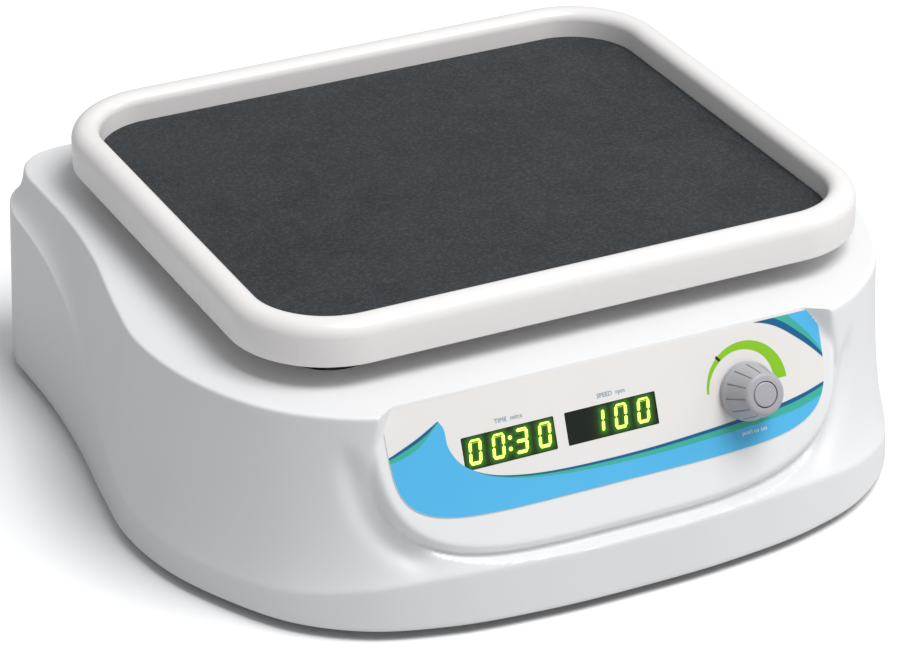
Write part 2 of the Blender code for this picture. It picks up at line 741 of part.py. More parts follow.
motor = turned(
    "drive_motor",
    (
        (0, 20.0),
        (3.0, 20.0),
        (3.0, 39.4),
        (9.6, 39.4),
        (9.6, CHASSIS_LOW - GAP),
        (20.4, CHASSIS_LOW - GAP),
        (21.0, 37.1),
        (21.0, 11.0),
        (20.0, 10.0),
        (0, 10.0),
    ),
    28,
)
place(motor, BLACK_PLASTIC, motor_frame)
motor_pulley = turned(
    "motor_pulley",
    (
        (0, 54.0),
        (2.0, 54.0),
        (2.5, 53.2),
        (MOTOR_PULLEY_RADIUS + 2.0, 53.2),
        (MOTOR_PULLEY_RADIUS + 2.0, 52.4),
        (MOTOR_PULLEY_RADIUS, 51.6),
        (MOTOR_PULLEY_RADIUS, 44.8),
        (MOTOR_PULLEY_RADIUS + 2.0, 44.0),
        (MOTOR_PULLEY_RADIUS + 2.0, 43.2),
        (2.5, 43.2),
        (2.5, 21.0),
        (0, 21.0),
    ),
    24,
)
place(motor_pulley, SHAFT_STEEL, motor_frame)


def belt_loop(extra):
    """Outline round both pulleys: two arcs joined by their outer tangents."""
    big = Vector((0.0, SHAFT_Y))
    small = Vector((MOTOR_X, MOTOR_Y))
    big_radius = PULLEY_RADIUS + GAP + extra
    small_radius = MOTOR_PULLEY_RADIUS + GAP + extra
    reach = small - big
    heading = math.atan2(reach.y, reach.x)
    opening = math.acos((big_radius - small_radius) / reach.length)
    points = []
    for step in range(13):
        a = heading - opening + 2 * opening * step / 12
        points.append((small.x + small_radius * math.cos(a), small.y + small_radius * math.sin(a)))
    for step in range(41):
        a = heading + opening + (math.tau - 2 * opening) * step / 40
        points.append((big.x + big_radius * math.cos(a), big.y + big_radius * math.sin(a)))
    return points


belt = plate("drive_belt", [belt_loop(BELT_THICKNESS), belt_loop(0.0)], BELT_LOW, BELT_HIGH)
place(belt, BLACK_RUBBER, base_frame)


# --- idler cranks ------------------------------------------------------------------------------------

for number, idler_frame in enumerate(idler_frames, 1):
    bearing = ring_piece(f"idler_bearing_{number}", IDLER_PIN_RADIUS + GAP, 11.0, 36.5, 43.5, 20)
    place(bearing, SHAFT_STEEL, idler_frame)
    arm = []
    for start, x, y in ((math.pi / 2, 0.0, 0.0), (-math.pi / 2, pin_x, pin_y)):
        for step in range(9):
            a = REST_ANGLE + start + math.pi * step / 8
            arm.append((x + 7.0 * math.cos(a), y + 7.0 * math.sin(a)))
    idler = place(plate(f"idler_crank_{number}", [arm], 48.0, 56.0), SHAFT_STEEL, idler_frame)
    stem = cylinder(f"idler_stem_{number}", IDLER_PIN_RADIUS, 33.0, 50.0, 20)
    pin = cylinder(f"idler_pin_{number}", IDLER_PIN_RADIUS, 54.0, 72.0, 20)
    place(stem, None, idler_frame, group=CUTTERS)
    place(pin, None, idler_frame, (pin_x, pin_y, 0), group=CUTTERS)
    cut(idler, stem, "UNION")
    cut(idler, pin, "UNION")


# --- carriage, posts and platform ----------------------------------------------------------------------

carriage_holes = [circle(13.9, 24)]
carriage_spots = [(x, y - SHAFT_Y) for x, y in idler_places]
carriage_holes += [circle(8.6, 20, spot) for spot in carriage_spots]
carriage_holes += [circle(3.4, 12, (sx * POST_X, sy * POST_Y)) for sx, sy in CORNERS]
carriage_holes += [circle(15.0, 20, (sx * 62.0, 30.0)) for sx in (-1, 1)]
carriage_outline = rounded_rectangle(97.0, 80.0, 12.0, 4)
carriage = plate("carriage_plate", [carriage_outline, *carriage_holes], CARRIAGE_LOW, CARRIAGE_HIGH)
place(carriage, PLATE_STEEL, platform_frame)
hub = turned(
    "hub_bearing",
    ((13.6, 74.0), (13.6, 66.2), (5.3, 66.2), (5.3, 74.0)),
    32,
    closed=True,
)
place(hub, SHAFT_STEEL, platform_frame)
for number, (x, y) in enumerate(carriage_spots, 1):
    bush = turned(
        f"idler_bush_{number}",
        ((8.3, 71.0), (8.3, 64.5), (4.4, 64.5), (4.4, 71.0)),
        20,
        closed=True,
    )
    place(bush, BRONZE, platform_frame, (x, y, 0))

for number, (sx, sy) in enumerate(CORNERS, 1):
    post = turned(
        f"post_{number}",
        (
            (0, 76.0),
            (SCREW_HOLE, 76.0),
            (SCREW_HOLE, TRAY_FLOOR_LOW - GAP),
            (POST_RADIUS, TRAY_FLOOR_LOW - GAP),
            (POST_RADIUS, CARRIAGE_HIGH + GAP),
            (3.0, CARRIAGE_HIGH + GAP),
            (3.0, 63.5),
            (0, 63.5),
        ),
        16,
    )
    place(post, CAST_ALUMINIUM, platform_frame, (sx * POST_X, sy * POST_Y, 0))

# Tray section, walked as (inset from the outer edge, height) from the floor over the rim and under it.
TRAY_SECTION = (
    (MAT_INSET - 0.3, TRAY_FLOOR_HIGH),
    (MAT_INSET - 0.5, 103.6),
    (9.2, 107.0),
    (7.4, 108.6),
    (5.6, TRAY_TOP_Z),
    (3.4, 108.5),
    (1.4, 107.0),
    (0.3, 104.8),
    (0.0, 102.6),
    (0.0, 93.3),
    (0.8, TRAY_LIP_Z),
    (2.6, TRAY_LIP_Z),
    (3.0, 93.0),
    (3.4, 102.5),
    (7.0, 102.5),
    (8.0, TRAY_FLOOR_LOW),
)
tray = loft(
    "tray",
    [
        at_height(rounded_rectangle(TRAY_HALF_X - inset, TRAY_HALF_Y - inset, TRAY_CORNER - inset), z)
        for inset, z in TRAY_SECTION
    ],
)
place(tray, WHITE_TRAY, platform_frame)
for number, (sx, sy) in enumerate(CORNERS, 1):
    spot = (sx * POST_X, sy * POST_Y, 0)
    hole = cylinder(f"tray_hole_{number}", SCREW_HOLE, 90.0, 99.0, 16)
    sink = cylinder(f"tray_sink_{number}", 4.2, 94.6, 99.0, 20)
    place(hole, None, platform_frame, spot, group=CUTTERS)
    place(sink, None, platform_frame, spot, group=CUTTERS)
    cut(tray, hole)
    cut(tray, sink)
    screw = ((0, 96.0), (3.8, 96.0), (3.8, 94.9), (1.9, 94.9), (1.9, 80.0), (0, 80.0))
    place(turned(f"tray_screw_{number}", screw, 16), SHAFT_STEEL, platform_frame, spot)

mat_outline = rounded_rectangle(
    TRAY_HALF_X - MAT_INSET - 0.1, TRAY_HALF_Y - MAT_INSET - 0.1, TRAY_CORNER - MAT_INSET - 0.1
)
place(plate("mat", [mat_outline], TRAY_FLOOR_HIGH + GAP, MAT_TOP_Z), DARK_MAT, platform_frame)


# --- power entry and boards ------------------------------------------------------------------------------

board = block("control_board", (*BOARD_SIZE, 1.6), (0, 0, BOARD_LOW + 0.8))
place(board, BOARD_GREEN, base_frame, (*BOARD_CENTRE, 0))
components = ((-14, 16, 18, 12), (12, 18, 12, 8), (-8, -16, 22, 5), (15, -14, 10, 14))
for number, (x, y, size, height) in enumerate(components, 1):
    chip_z = BOARD_LOW + 1.3 + height / 2
    chip = block(f"component_{number}", (size, size * 0.8, height + 0.6), (0, 0, chip_z))
    place(chip, None, base_frame, (BOARD_CENTRE[0] + x, BOARD_CENTRE[1] + y, 0), group=CUTTERS)
    cut(board, chip, "UNION")

jack_frame = frame_at("jack_frame", JACK_X, REAR_Y, REAR_Z, turn_x=-math.pi / 2, parent=base_frame)
jack = turned(
    "power_jack",
    (
        (0, 0.2),
        (0.7, 0.2),
        (1.0, -0.3),
        (1.0, -9.0),
        (3.1, -9.0),
        (3.1, 2.2),
        (6.2, 2.2),
        (6.4, 1.2),
        (7.6, 1.2),
        (8.0, 0.8),
        (8.0, GAP),
        (5.4, GAP),
        (5.4, -13.0),
        (0, -13.0),
    ),
    16,
)
place(jack, BLACK_PLASTIC, jack_frame)

switch_frame = frame_at("switch_frame", SWITCH_X, REAR_Y, REAR_Z, parent=base_frame)
bezel = block("switch_body", (12.0, 15.0, 18.0), (0, -7.2, 0))
flange = block("switch_flange", (15.0, 1.5, 21.0), (0, GAP + 0.75, 0))
neck = block("switch_neck", (12.0, 2.0, 18.0), (0, 0.6, 0))
well = block("switch_well", (9.6, 14.0, 15.6), (0, -1.0, 0))
place(bezel, BLACK_PLASTIC, switch_frame)
for tool, operation in ((neck, "UNION"), (flange, "UNION"), (well, "DIFFERENCE")):
    place(tool, None, switch_frame, group=CUTTERS)
    cut(bezel, tool, operation)

rocker_frame = frame_at(
    "rocker_frame", SWITCH_X, ROCKER_PIVOT_Y, REAR_Z, turn_x=-ROCKER_TILT, parent=base_frame
)
rocker_outline = [(1.9, 6.9), (1.1, 0.0), (1.9, -6.9), (0.4, -6.9)]
for step in range(13):
    a = math.pi + math.pi * step / 12
    rocker_outline.append((5.0 * math.sin(a), 5.2 * math.cos(a)))
rocker_outline.append((0.4, 6.9))
rocker = plate("rocker_button", [rocker_outline], -4.4, 4.4)
place(rocker, BLACK_PLASTIC, rocker_frame, turn=(math.pi / 2, 0, math.pi / 2))
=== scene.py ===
# Looks for the compact orbital platform shaker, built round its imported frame.
import json
import math

import bmesh
import bpy
import numpy as np
from mathutils import Matrix, Vector


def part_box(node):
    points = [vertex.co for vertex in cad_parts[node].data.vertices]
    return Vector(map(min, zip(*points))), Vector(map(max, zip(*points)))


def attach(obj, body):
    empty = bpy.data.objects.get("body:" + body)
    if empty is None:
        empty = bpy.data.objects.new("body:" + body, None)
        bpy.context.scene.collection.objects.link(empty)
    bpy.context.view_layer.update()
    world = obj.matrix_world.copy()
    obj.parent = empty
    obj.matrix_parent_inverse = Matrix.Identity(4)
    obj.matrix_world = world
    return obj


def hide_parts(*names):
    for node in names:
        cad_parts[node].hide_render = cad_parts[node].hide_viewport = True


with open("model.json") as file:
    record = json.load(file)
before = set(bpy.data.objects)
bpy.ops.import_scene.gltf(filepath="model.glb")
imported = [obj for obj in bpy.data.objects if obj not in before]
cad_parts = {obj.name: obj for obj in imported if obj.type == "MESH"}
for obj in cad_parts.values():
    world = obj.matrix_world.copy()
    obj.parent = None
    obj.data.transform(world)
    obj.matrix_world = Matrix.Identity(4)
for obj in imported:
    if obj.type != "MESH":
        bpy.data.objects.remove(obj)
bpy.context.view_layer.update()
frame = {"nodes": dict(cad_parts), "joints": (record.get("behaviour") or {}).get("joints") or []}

mm = 0.001
nodes = frame["nodes"]
joints = {joint["name"]: joint for joint in frame["joints"]}
scene = bpy.context.scene
print("frame loaded:", len(nodes), "nodes")


# Shader node groups that several finishes share.

def newGroup(name, inputs, outputs):
    group = bpy.data.node_groups.new(name, "ShaderNodeTree")
    for label, kind, value in inputs:
        socket = group.interface.new_socket(label, in_out="INPUT", socket_type="NodeSocket" + kind)
        socket.default_value = value
    for label, kind in outputs:
        group.interface.new_socket(label, in_out="OUTPUT", socket_type="NodeSocket" + kind)
    return group, group.nodes.new("NodeGroupInput"), group.nodes.new("NodeGroupOutput")


def addNode(tree, kind, settings=None, values=None):
    node = tree.nodes.new("ShaderNode" + kind)
    for key, value in (settings or {}).items():
        setattr(node, key, value)
    for key, value in (values or {}).items():
        node.inputs[key].default_value = value
    return node


def ramp(tree, low, high):
    settings = {"clamp": True, "interpolation_type": "SMOOTHERSTEP"}
    return addNode(tree, "MapRange", settings, {"From Min": low, "From Max": high})


def link(tree, source, target):
    tree.links.new(source, target)


def buildMouldGrain():
    # a moulded skin: fine pebble for the bump, slow patches for gloss and tint
    group, start, end = newGroup(
        "mouldGrain",
        [("Scale", "Float", 900.0), ("Tint", "Color", (0.8, 0.8, 0.8, 1)), ("Shade", "Color", (0.7, 0.7, 0.7, 1)),
         ("Roughness", "Float", 0.4), ("Spread", "Float", 0.08)],
        [("Color", "Color"), ("Roughness", "Float"), ("Height", "Float")],
    )
    place = addNode(group, "TexCoord")
    pebble = addNode(group, "TexNoise", None, {"Detail": 3.0, "Roughness": 0.55})
    link(group, place.outputs["Object"], pebble.inputs["Vector"])
    link(group, start.outputs["Scale"], pebble.inputs["Scale"])
    patches = addNode(group, "TexNoise", None, {"Scale": 14.0, "Detail": 4.0, "Roughness": 0.6})
    link(group, place.outputs["Object"], patches.inputs["Vector"])
    even = ramp(group, 0.2, 0.8)
    link(group, patches.outputs["Fac"], even.inputs["Value"])
    mix = addNode(group, "Mix", {"data_type": "RGBA"})
    link(group, even.outputs["Result"], mix.inputs["Factor"])
    link(group, start.outputs["Tint"], mix.inputs[6])
    link(group, start.outputs["Shade"], mix.inputs[7])
    swing = addNode(group, "Math", {"operation": "MULTIPLY"})
    link(group, even.outputs["Result"], swing.inputs[0])
    link(group, start.outputs["Spread"], swing.inputs[1])
    gloss = addNode(group, "Math", {"operation": "ADD"})
    link(group, start.outputs["Roughness"], gloss.inputs[0])
    link(group, swing.outputs[0], gloss.inputs[1])
    link(group, mix.outputs[2], end.inputs["Color"])
    link(group, gloss.outputs[0], end.inputs["Roughness"])
    link(group, pebble.outputs["Fac"], end.inputs["Height"])
    return group


def buildFleck():
    # light and dark crumbs through a rubber compound
    group, start, end = newGroup(
        "rubberFleck",
        [("Scale", "Float", 1400.0), ("Base", "Color", (0.05, 0.05, 0.05, 1)), ("Fleck", "Color", (0.1, 0.1, 0.1, 1)),
         ("Amount", "Float", 0.5), ("Roughness", "Float", 0.75)],
        [("Color", "Color"), ("Roughness", "Float"), ("Height", "Float")],
    )
    place = addNode(group, "TexCoord")
    crumbs = addNode(group, "TexNoise", None, {"Detail": 5.0, "Roughness": 0.7})
    link(group, place.outputs["Object"], crumbs.inputs["Vector"])
    link(group, start.outputs["Scale"], crumbs.inputs["Scale"])
    cloud = addNode(group, "TexNoise", None, {"Scale": 55.0, "Detail": 5.0, "Roughness": 0.65})
    link(group, place.outputs["Object"], cloud.inputs["Vector"])
    fine = ramp(group, 0.42, 0.68)
    link(group, crumbs.outputs["Fac"], fine.inputs["Value"])
    slow = ramp(group, 0.3, 0.7)
    link(group, cloud.outputs["Fac"], slow.inputs["Value"])
    both = addNode(group, "Math", {"operation": "MULTIPLY_ADD"}, {1: 0.45})
    link(group, slow.outputs["Result"], both.inputs[0])
    link(group, fine.outputs["Result"], both.inputs[2])
    share = addNode(group, "Math", {"operation": "MULTIPLY"})
    link(group, both.outputs[0], share.inputs[0])
    link(group, start.outputs["Amount"], share.inputs[1])
    mix = addNode(group, "Mix", {"data_type": "RGBA"})
    link(group, share.outputs[0], mix.inputs["Factor"])
    link(group, start.outputs["Base"], mix.inputs[6])
    link(group, start.outputs["Fleck"], mix.inputs[7])
    dull = addNode(group, "Math", {"operation": "MULTIPLY_ADD"}, {1: 0.12})
    link(group, slow.outputs["Result"], dull.inputs[0])
    link(group, start.outputs["Roughness"], dull.inputs[2])
    link(group, mix.outputs[2], end.inputs["Color"])
    link(group, dull.outputs[0], end.inputs["Roughness"])
    link(group, crumbs.outputs["Fac"], end.inputs["Height"])
    return group


def buildBrush():
    # drawn-out lines of a rolled, turned or cast metal, with faint tarnish
    group, start, end = newGroup(
        "metalBrush",
        [("Stretch", "Vector", (1.0, 1.0, 1.0)), ("Bright", "Color", (0.6, 0.6, 0.6, 1)),
         ("Dull", "Color", (0.4, 0.4, 0.4, 1)), ("Roughness", "Float", 0.3), ("Spread", "Float", 0.15)],
        [("Color", "Color"), ("Roughness", "Float"), ("Height", "Float")],
    )
    place = addNode(group, "TexCoord")
    stretch = addNode(group, "VectorMath", {"operation": "MULTIPLY"})
    link(group, place.outputs["Object"], stretch.inputs[0])
    link(group, start.outputs["Stretch"], stretch.inputs[1])
    lines = addNode(group, "TexNoise", None, {"Scale": 1.0, "Detail": 4.0, "Roughness": 0.6})
    link(group, stretch.outputs[0], lines.inputs["Vector"])
    tarnish = addNode(group, "TexNoise", None, {"Scale": 60.0, "Detail": 5.0, "Roughness": 0.7})
    link(group, place.outputs["Object"], tarnish.inputs["Vector"])
    spots = ramp(group, 0.4, 0.75)
    link(group, tarnish.outputs["Fac"], spots.inputs["Value"])
    mix = addNode(group, "Mix", {"data_type": "RGBA"})
    link(group, spots.outputs["Result"], mix.inputs["Factor"])
    link(group, start.outputs["Bright"], mix.inputs[6])
    link(group, start.outputs["Dull"], mix.inputs[7])
    swing = addNode(group, "Math", {"operation": "MULTIPLY"})
    link(group, lines.outputs["Fac"], swing.inputs[0])
    link(group, start.outputs["Spread"], swing.inputs[1])
    gloss = addNode(group, "Math", {"operation": "ADD"})
    link(group, swing.outputs[0], gloss.inputs[0])
    link(group, start.outputs["Roughness"], gloss.inputs[1])
    link(group, mix.outputs[2], end.inputs["Color"])
    link(group, gloss.outputs[0], end.inputs["Roughness"])
    link(group, lines.outputs["Fac"], end.inputs["Height"])
    return group


mouldGrain = buildMouldGrain()
rubberFleck = buildFleck()
metalBrush = buildBrush()


def finish(name, group, values, bump=0.1, bumpDistance=0.0001, shader=None):
    made = bpy.data.materials.new(name)
    made.use_nodes = True
    tree = made.node_tree
    principled = tree.nodes["Principled BSDF"]
    effect = tree.nodes.new("ShaderNodeGroup")
    effect.node_tree = group
    for key, value in values.items():
        effect.inputs[key].default_value = value
    height = addNode(tree, "Bump", None, {"Strength": bump, "Distance": bumpDistance})
    link(tree, effect.outputs["Color"], principled.inputs["Base Color"])
    link(tree, effect.outputs["Roughness"], principled.inputs["Roughness"])
    link(tree, effect.outputs["Height"], height.inputs["Height"])
    link(tree, height.outputs["Normal"], principled.inputs["Normal"])
    for key, value in (shader or {}).items():
        principled.inputs[key].default_value = value
    return made


def plastic(name, tint, shade, roughness=0.4, spread=0.06, scale=1500.0, bump=0.06, **shader):
    values = {"Scale": scale, "Tint": (*tint, 1), "Shade": (*shade, 1), "Roughness": roughness, "Spread": spread}
    return finish(name, mouldGrain, values, bump, 0.00008, shader)


def metal(name, bright, dull, roughness=0.28, stretch=(2000.0, 60.0, 60.0), bump=0.12):
    values = {"Stretch": stretch, "Bright": (*bright, 1), "Dull": (*dull, 1), "Roughness": roughness}
    return finish(name, metalBrush, values, bump, 0.00006, {"Metallic": 1.0})


def rubber(name, base, fleck, amount=0.5, roughness=0.7, scale=1500.0, bump=0.35):
    values = {"Scale": scale, "Base": (*base, 1), "Fleck": (*fleck, 1), "Amount": amount, "Roughness": roughness}
    return finish(name, rubberFleck, values, bump, 0.00025)


finishes = {
    "shell": plastic("shellWhite", (0.775, 0.775, 0.78), (0.76, 0.76, 0.765), 0.38, 0.04, bump=0.05),
    "tray": plastic("trayWhite", (0.80, 0.775, 0.765), (0.79, 0.765, 0.755), 0.26, 0.02, bump=0.03),
    "mat": rubber("matSlate", (0.012, 0.015, 0.018), (0.050, 0.056, 0.061), 0.6, 0.8, 800.0, 0.35),
    "foot": rubber("footRubber", (0.018, 0.018, 0.018), (0.032, 0.031, 0.030), 0.4, 0.62, 900.0, 0.25),
    "belt": rubber("beltRubber", (0.02, 0.02, 0.021), (0.04, 0.038, 0.036), 0.5, 0.55, 1600.0, 0.3),
    "film": plastic("filmField", (0.78, 0.755, 0.735), (0.765, 0.74, 0.72), 0.33, 0.05, 2600.0, 0.04),
    "sky": plastic("inkSky", (0.085, 0.46, 0.78), (0.075, 0.44, 0.76), 0.32, 0.05, 2600.0, 0.04),
    "deepBlue": plastic("inkDeepBlue", (0.0, 0.115, 0.27), (0.0, 0.10, 0.25), 0.32, 0.05, 2600.0, 0.04),
    "seaGreen": plastic("inkSeaGreen", (0.045, 0.42, 0.33), (0.04, 0.40, 0.31), 0.32, 0.05, 2600.0, 0.04),
    "lime": plastic("inkLime", (0.25, 0.56, 0.012), (0.23, 0.53, 0.010), 0.32, 0.05, 2600.0, 0.04),
    "inkDark": plastic("inkDark", (0.015, 0.017, 0.02), (0.02, 0.02, 0.02), 0.35, 0.05, 2600.0, 0.04),
    "caption": plastic("inkCaption", (0.22, 0.34, 0.46), (0.21, 0.32, 0.44), 0.35, 0.05, 2600.0, 0.04),
    "captionWhite": plastic("inkWhite", (0.80, 0.86, 0.90), (0.78, 0.84, 0.88), 0.35, 0.05, 2600.0, 0.04),
    "knob": plastic("knobLilac", (0.40, 0.395, 0.425), (0.37, 0.365, 0.395), 0.38, 0.08, 1800.0, 0.07),
    "black": plastic("blackPlastic", (0.018, 0.018, 0.02), (0.026, 0.026, 0.028), 0.42, 0.12, 1600.0, 0.1),
    "board": plastic("boardGreen", (0.012, 0.10, 0.035), (0.02, 0.15, 0.06), 0.3, 0.2, 400.0, 0.15),
    "plate": metal("zincSheet", (0.58, 0.59, 0.60), (0.42, 0.43, 0.44), 0.34, (60.0, 1800.0, 60.0)),
    "bright": metal("brightSteel", (0.66, 0.66, 0.67), (0.5, 0.5, 0.51), 0.2, (60.0, 60.0, 2600.0)),
    "cast": metal("castAlloy", (0.62, 0.63, 0.64), (0.45, 0.46, 0.47), 0.42, (700.0, 700.0, 700.0), 0.3),
    "bronze": metal("bushBronze", (0.55, 0.36, 0.15), (0.36, 0.22, 0.09), 0.34, (60.0, 60.0, 1800.0)),
}
print("finishes ready:", len(finishes))


# Small modelling helpers.

def clearSelection():
    if bpy.context.object and bpy.context.object.mode != "OBJECT":
        bpy.ops.object.mode_set(mode="OBJECT")
    bpy.ops.object.select_all(action="DESELECT")


def pick(piece):
    clearSelection()
    piece.select_set(True)
    bpy.context.view_layer.objects.active = piece


def editAll(piece):
    pick(piece)
    bpy.ops.object.mode_set(mode="EDIT")
    bpy.ops.mesh.select_all(action="SELECT")


def selectWhere(mode, test):
    # selects the active mesh's faces, edges or vertices that pass a test on their place
    bpy.ops.mesh.select_all(action="DESELECT")
    bpy.ops.mesh.select_mode(type=mode)
    form = bmesh.from_edit_mesh(bpy.context.object.data)
    for part in {"FACE": form.faces, "EDGE": form.edges, "VERT": form.verts}[mode]:
        if mode == "FACE":
            chosen = test(part.calc_center_median(), part.normal)
        elif mode == "EDGE":
            chosen = test(part.verts[0].co, part.verts[1].co)
        else:
            chosen = test(part.co)
        if chosen:
            part.select_set(True)
    form.select_flush_mode()
    bmesh.update_edit_mesh(bpy.context.object.data)


def settle(piece, material, angle=35.0):
    # leaves edit mode, writes the place into the mesh and gives the finish
    pick(piece)
    bpy.ops.object.transform_apply(location=True, rotation=True, scale=True)
    bpy.ops.object.shade_smooth_by_angle(angle=math.radians(angle))
    piece.data.materials.clear()
    piece.data.materials.append(material)
    return piece


def outward(piece):
    editAll(piece)
    bpy.ops.mesh.remove_doubles(threshold=0.000002)
    bpy.ops.mesh.select_all(action="SELECT")
    bpy.ops.mesh.normals_make_consistent(inside=False)
    bpy.ops.object.mode_set(mode="OBJECT")


def useModifier(piece, kind, **settings):
    pick(piece)
    modifier = piece.modifiers.new(kind.lower(), kind)
    for key, value in settings.items():
        setattr(modifier, key, value)
    bpy.ops.object.modifier_apply(modifier=modifier.name)


def meshPiece(name, points, faces):
    mesh = bpy.data.meshes.new(name)
    mesh.from_pydata(points, [], faces)
    mesh.update()
    piece = bpy.data.objects.new(name, mesh)
    scene.collection.objects.link(piece)
    return piece


def rideOn(piece, body, slot, *replaced):
    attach(piece, body)
    if replaced:
        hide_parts(*replaced)
    return piece


# The leaning panel's own axes: across, up it, and out of it.
turnJoint = joints["knob_turn"]
panelOut = Vector(turnJoint["axis"]).normalized()
panelUp = Vector((0, panelOut.z, -panelOut.y))
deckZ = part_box("housing")[1].z
panelX = (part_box("control_label")[0].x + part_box("control_label")[1].x) / 2
knobSpot = Vector(turnJoint["pos_m"])
knobDrop = (deckZ - knobSpot.z) / panelUp.z
foldPoint = Vector((panelX, knobSpot.y + knobDrop * panelUp.y, deckZ))
knobAcross = knobSpot.x - panelX
panelMatrix = Matrix((
    (1, 0, 0, foldPoint.x),
    (0, panelUp.y, panelOut.y, foldPoint.y),
    (0, panelUp.z, panelOut.z, foldPoint.z),
    (0, 0, 0, 1),
))


def onPanel(x, drop, out=0.0):
    return panelMatrix @ Vector((x * mm, -drop * mm, out * mm))


# Housing: a dense skin through the outline, with the panel's groove, pod and cheeks worked into its front.
shell = {
    # half of the plan from the front middle to the rear middle, mm:
    # bottom edge x and y, deck edge x and y, height of the crease
    "plan": (
        (0, -140.3, 0, -125.5, 25.0), (37, -139.1, 32, -124.4, 25.0), (74, -133.6, 66, -121.0, 24.0),
        (100, -124.1, 93, -114.8, 20.5), (120, -108.6, 111, -103.8, 16.8), (137, -82.0, 128, -84.5, 15.0),
        (148, -54.0, 140, -57.0, 15.5), (151.8, -25.0, 144.8, -26.0, 18.5), (149, 3.4, 141.8, 1.0, 30.0),
        (143.8, 40.4, 134.4, 42.0, 50.0), (140.8, 78.0, 131.4, 78.0, 63.0), (140.6, 104, 131.6, 104, 67.5),
        (140.6, 116.1, 131.6, 116.8, 68.8), (137.7, 127.1, 128.9, 126.8, 69.6), (129.6, 135.2, 121.6, 134.1, 70.2),
        (118.6, 138.1, 111.6, 136.8, 70.5), (106, 138.1, 100, 136.8, 70.5), (50, 138.1, 48, 136.8, 70.5),
        (0, 138.1, 0, 136.8, 70.5),
    ),
    "steps": (40, 40, 32, 22, 11, 8, 7, 7, 9, 9, 8, 4, 5, 5, 5, 5, 18, 10),
    "bottomZ": 4.0,
    "draft": 0.035,
    "edgeRound": 1.3,
    "wall": 2.5,
    "podHalf": 93.5,
    "podHeight": 61.5,
    "podPower": 3.6,
    "podRound": 3.0,
    "grooveDeep": 3.5,
    "cheekHalf": 82.0,
    "cheekSpread": 0.67,
    "cheekFlare": 1.35,
}


def samplePlan(rows, steps):
    rows = [np.array(row, float) for row in rows]
    mirror = np.array([-1, 1, -1, 1, 1.0])
    rows = [rows[1] * mirror, *rows, rows[-2] * mirror]
    lengths = [np.hypot(*(b - a)[:2]) for a, b in zip(rows, rows[1:])]
    slopes = [(b - a) / length for a, b, length in zip(rows, rows[1:], lengths)]
    tangents = [None]
    for i in range(1, len(rows) - 1):
        before, after = lengths[i - 1], lengths[i]
        tangents.append((slopes[i - 1] * after + slopes[i] * before) / (before + after))
    half = []
    for i in range(1, len(rows) - 2):
        for step in range(steps[i - 1]):
            t = step / steps[i - 1]
            half.append(
                rows[i] * (1 + 2 * t) * (1 - t) ** 2
                + tangents[i] * lengths[i] * t * (1 - t) ** 2
                + rows[i + 1] * t * t * (3 - 2 * t)
                + tangents[i + 1] * lengths[i] * t * t * (t - 1)
            )
    half.append(rows[-2])
    left = [row * mirror for row in reversed(half[1:-1])]
    return np.array(half + left)


def inwardNormals(line):
    along = np.roll(line, -1, 0) - np.roll(line, 1, 0)
    along /= np.linalg.norm(along, axis=1)[:, None]
    return np.stack([-along[:, 1], along[:, 0]], 1)


def easeStep(low, high, value):
    t = np.clip((value - low) / (high - low), 0, 1)
    return t * t * (3 - 2 * t)


def softMin(a, b, reach):
    share = np.clip(reach - np.abs(a - b), 0, None) / np.maximum(reach, 1e-6)
    return np.minimum(a, b) - share * share * reach / 4


def softMax(a, b, reach):
    return -softMin(-a, -b, reach)


def frontDepth(x, drop, body, s=shell):
    # how far the finished skin stands out of the panel plane, where the plain body stands at 'body'
    power = s["podPower"]
    fx, fy = np.abs(x) / s["podHalf"], np.maximum(drop, 0) / s["podHeight"]
    f = np.maximum((fx**power + fy**power) ** (1 / power), 1e-6)
    slopeX = fx ** (power - 1) / s["podHalf"]
    slopeY = fy ** (power - 1) / s["podHeight"]
    away = (f - 1) * f ** (power - 1) / np.maximum(np.hypot(slopeX, slopeY), 1e-9)
    beside = easeStep(-1.0, -5.0, body)  # 1 where the body lies behind the panel plane
    groove = -s["grooveDeep"] + np.clip(away - 1.2, 0, None) ** 2 * (1.9 - 1.2 * beside)
    valley = beside * 2.4 * np.exp(-(((away - 5.0) / 4.5) ** 2))
    cheek = (np.abs(x) - s["cheekHalf"] - s["cheekSpread"] * drop) / s["cheekFlare"]
    reach = 1.8 * easeStep(3.0, 9.0, drop)
    outside = softMin(body - valley * easeStep(6, 20, drop), softMax(groove, cheek, 0.8), reach)
    u = np.clip((away + s["podRound"]) / (s["podRound"] + 0.6), 0, 1)
    pod = -6.0 * (1 - np.sqrt(1 - np.minimum(u, 0.985) ** 2)) - np.clip(away - 0.5, 0, None) * 6.0
    front = softMax(outside, pod, 1.0 * easeStep(3.0, 9.0, drop))
    return np.where(drop > 0.0005, np.minimum(front, np.maximum(body, pod)), body)


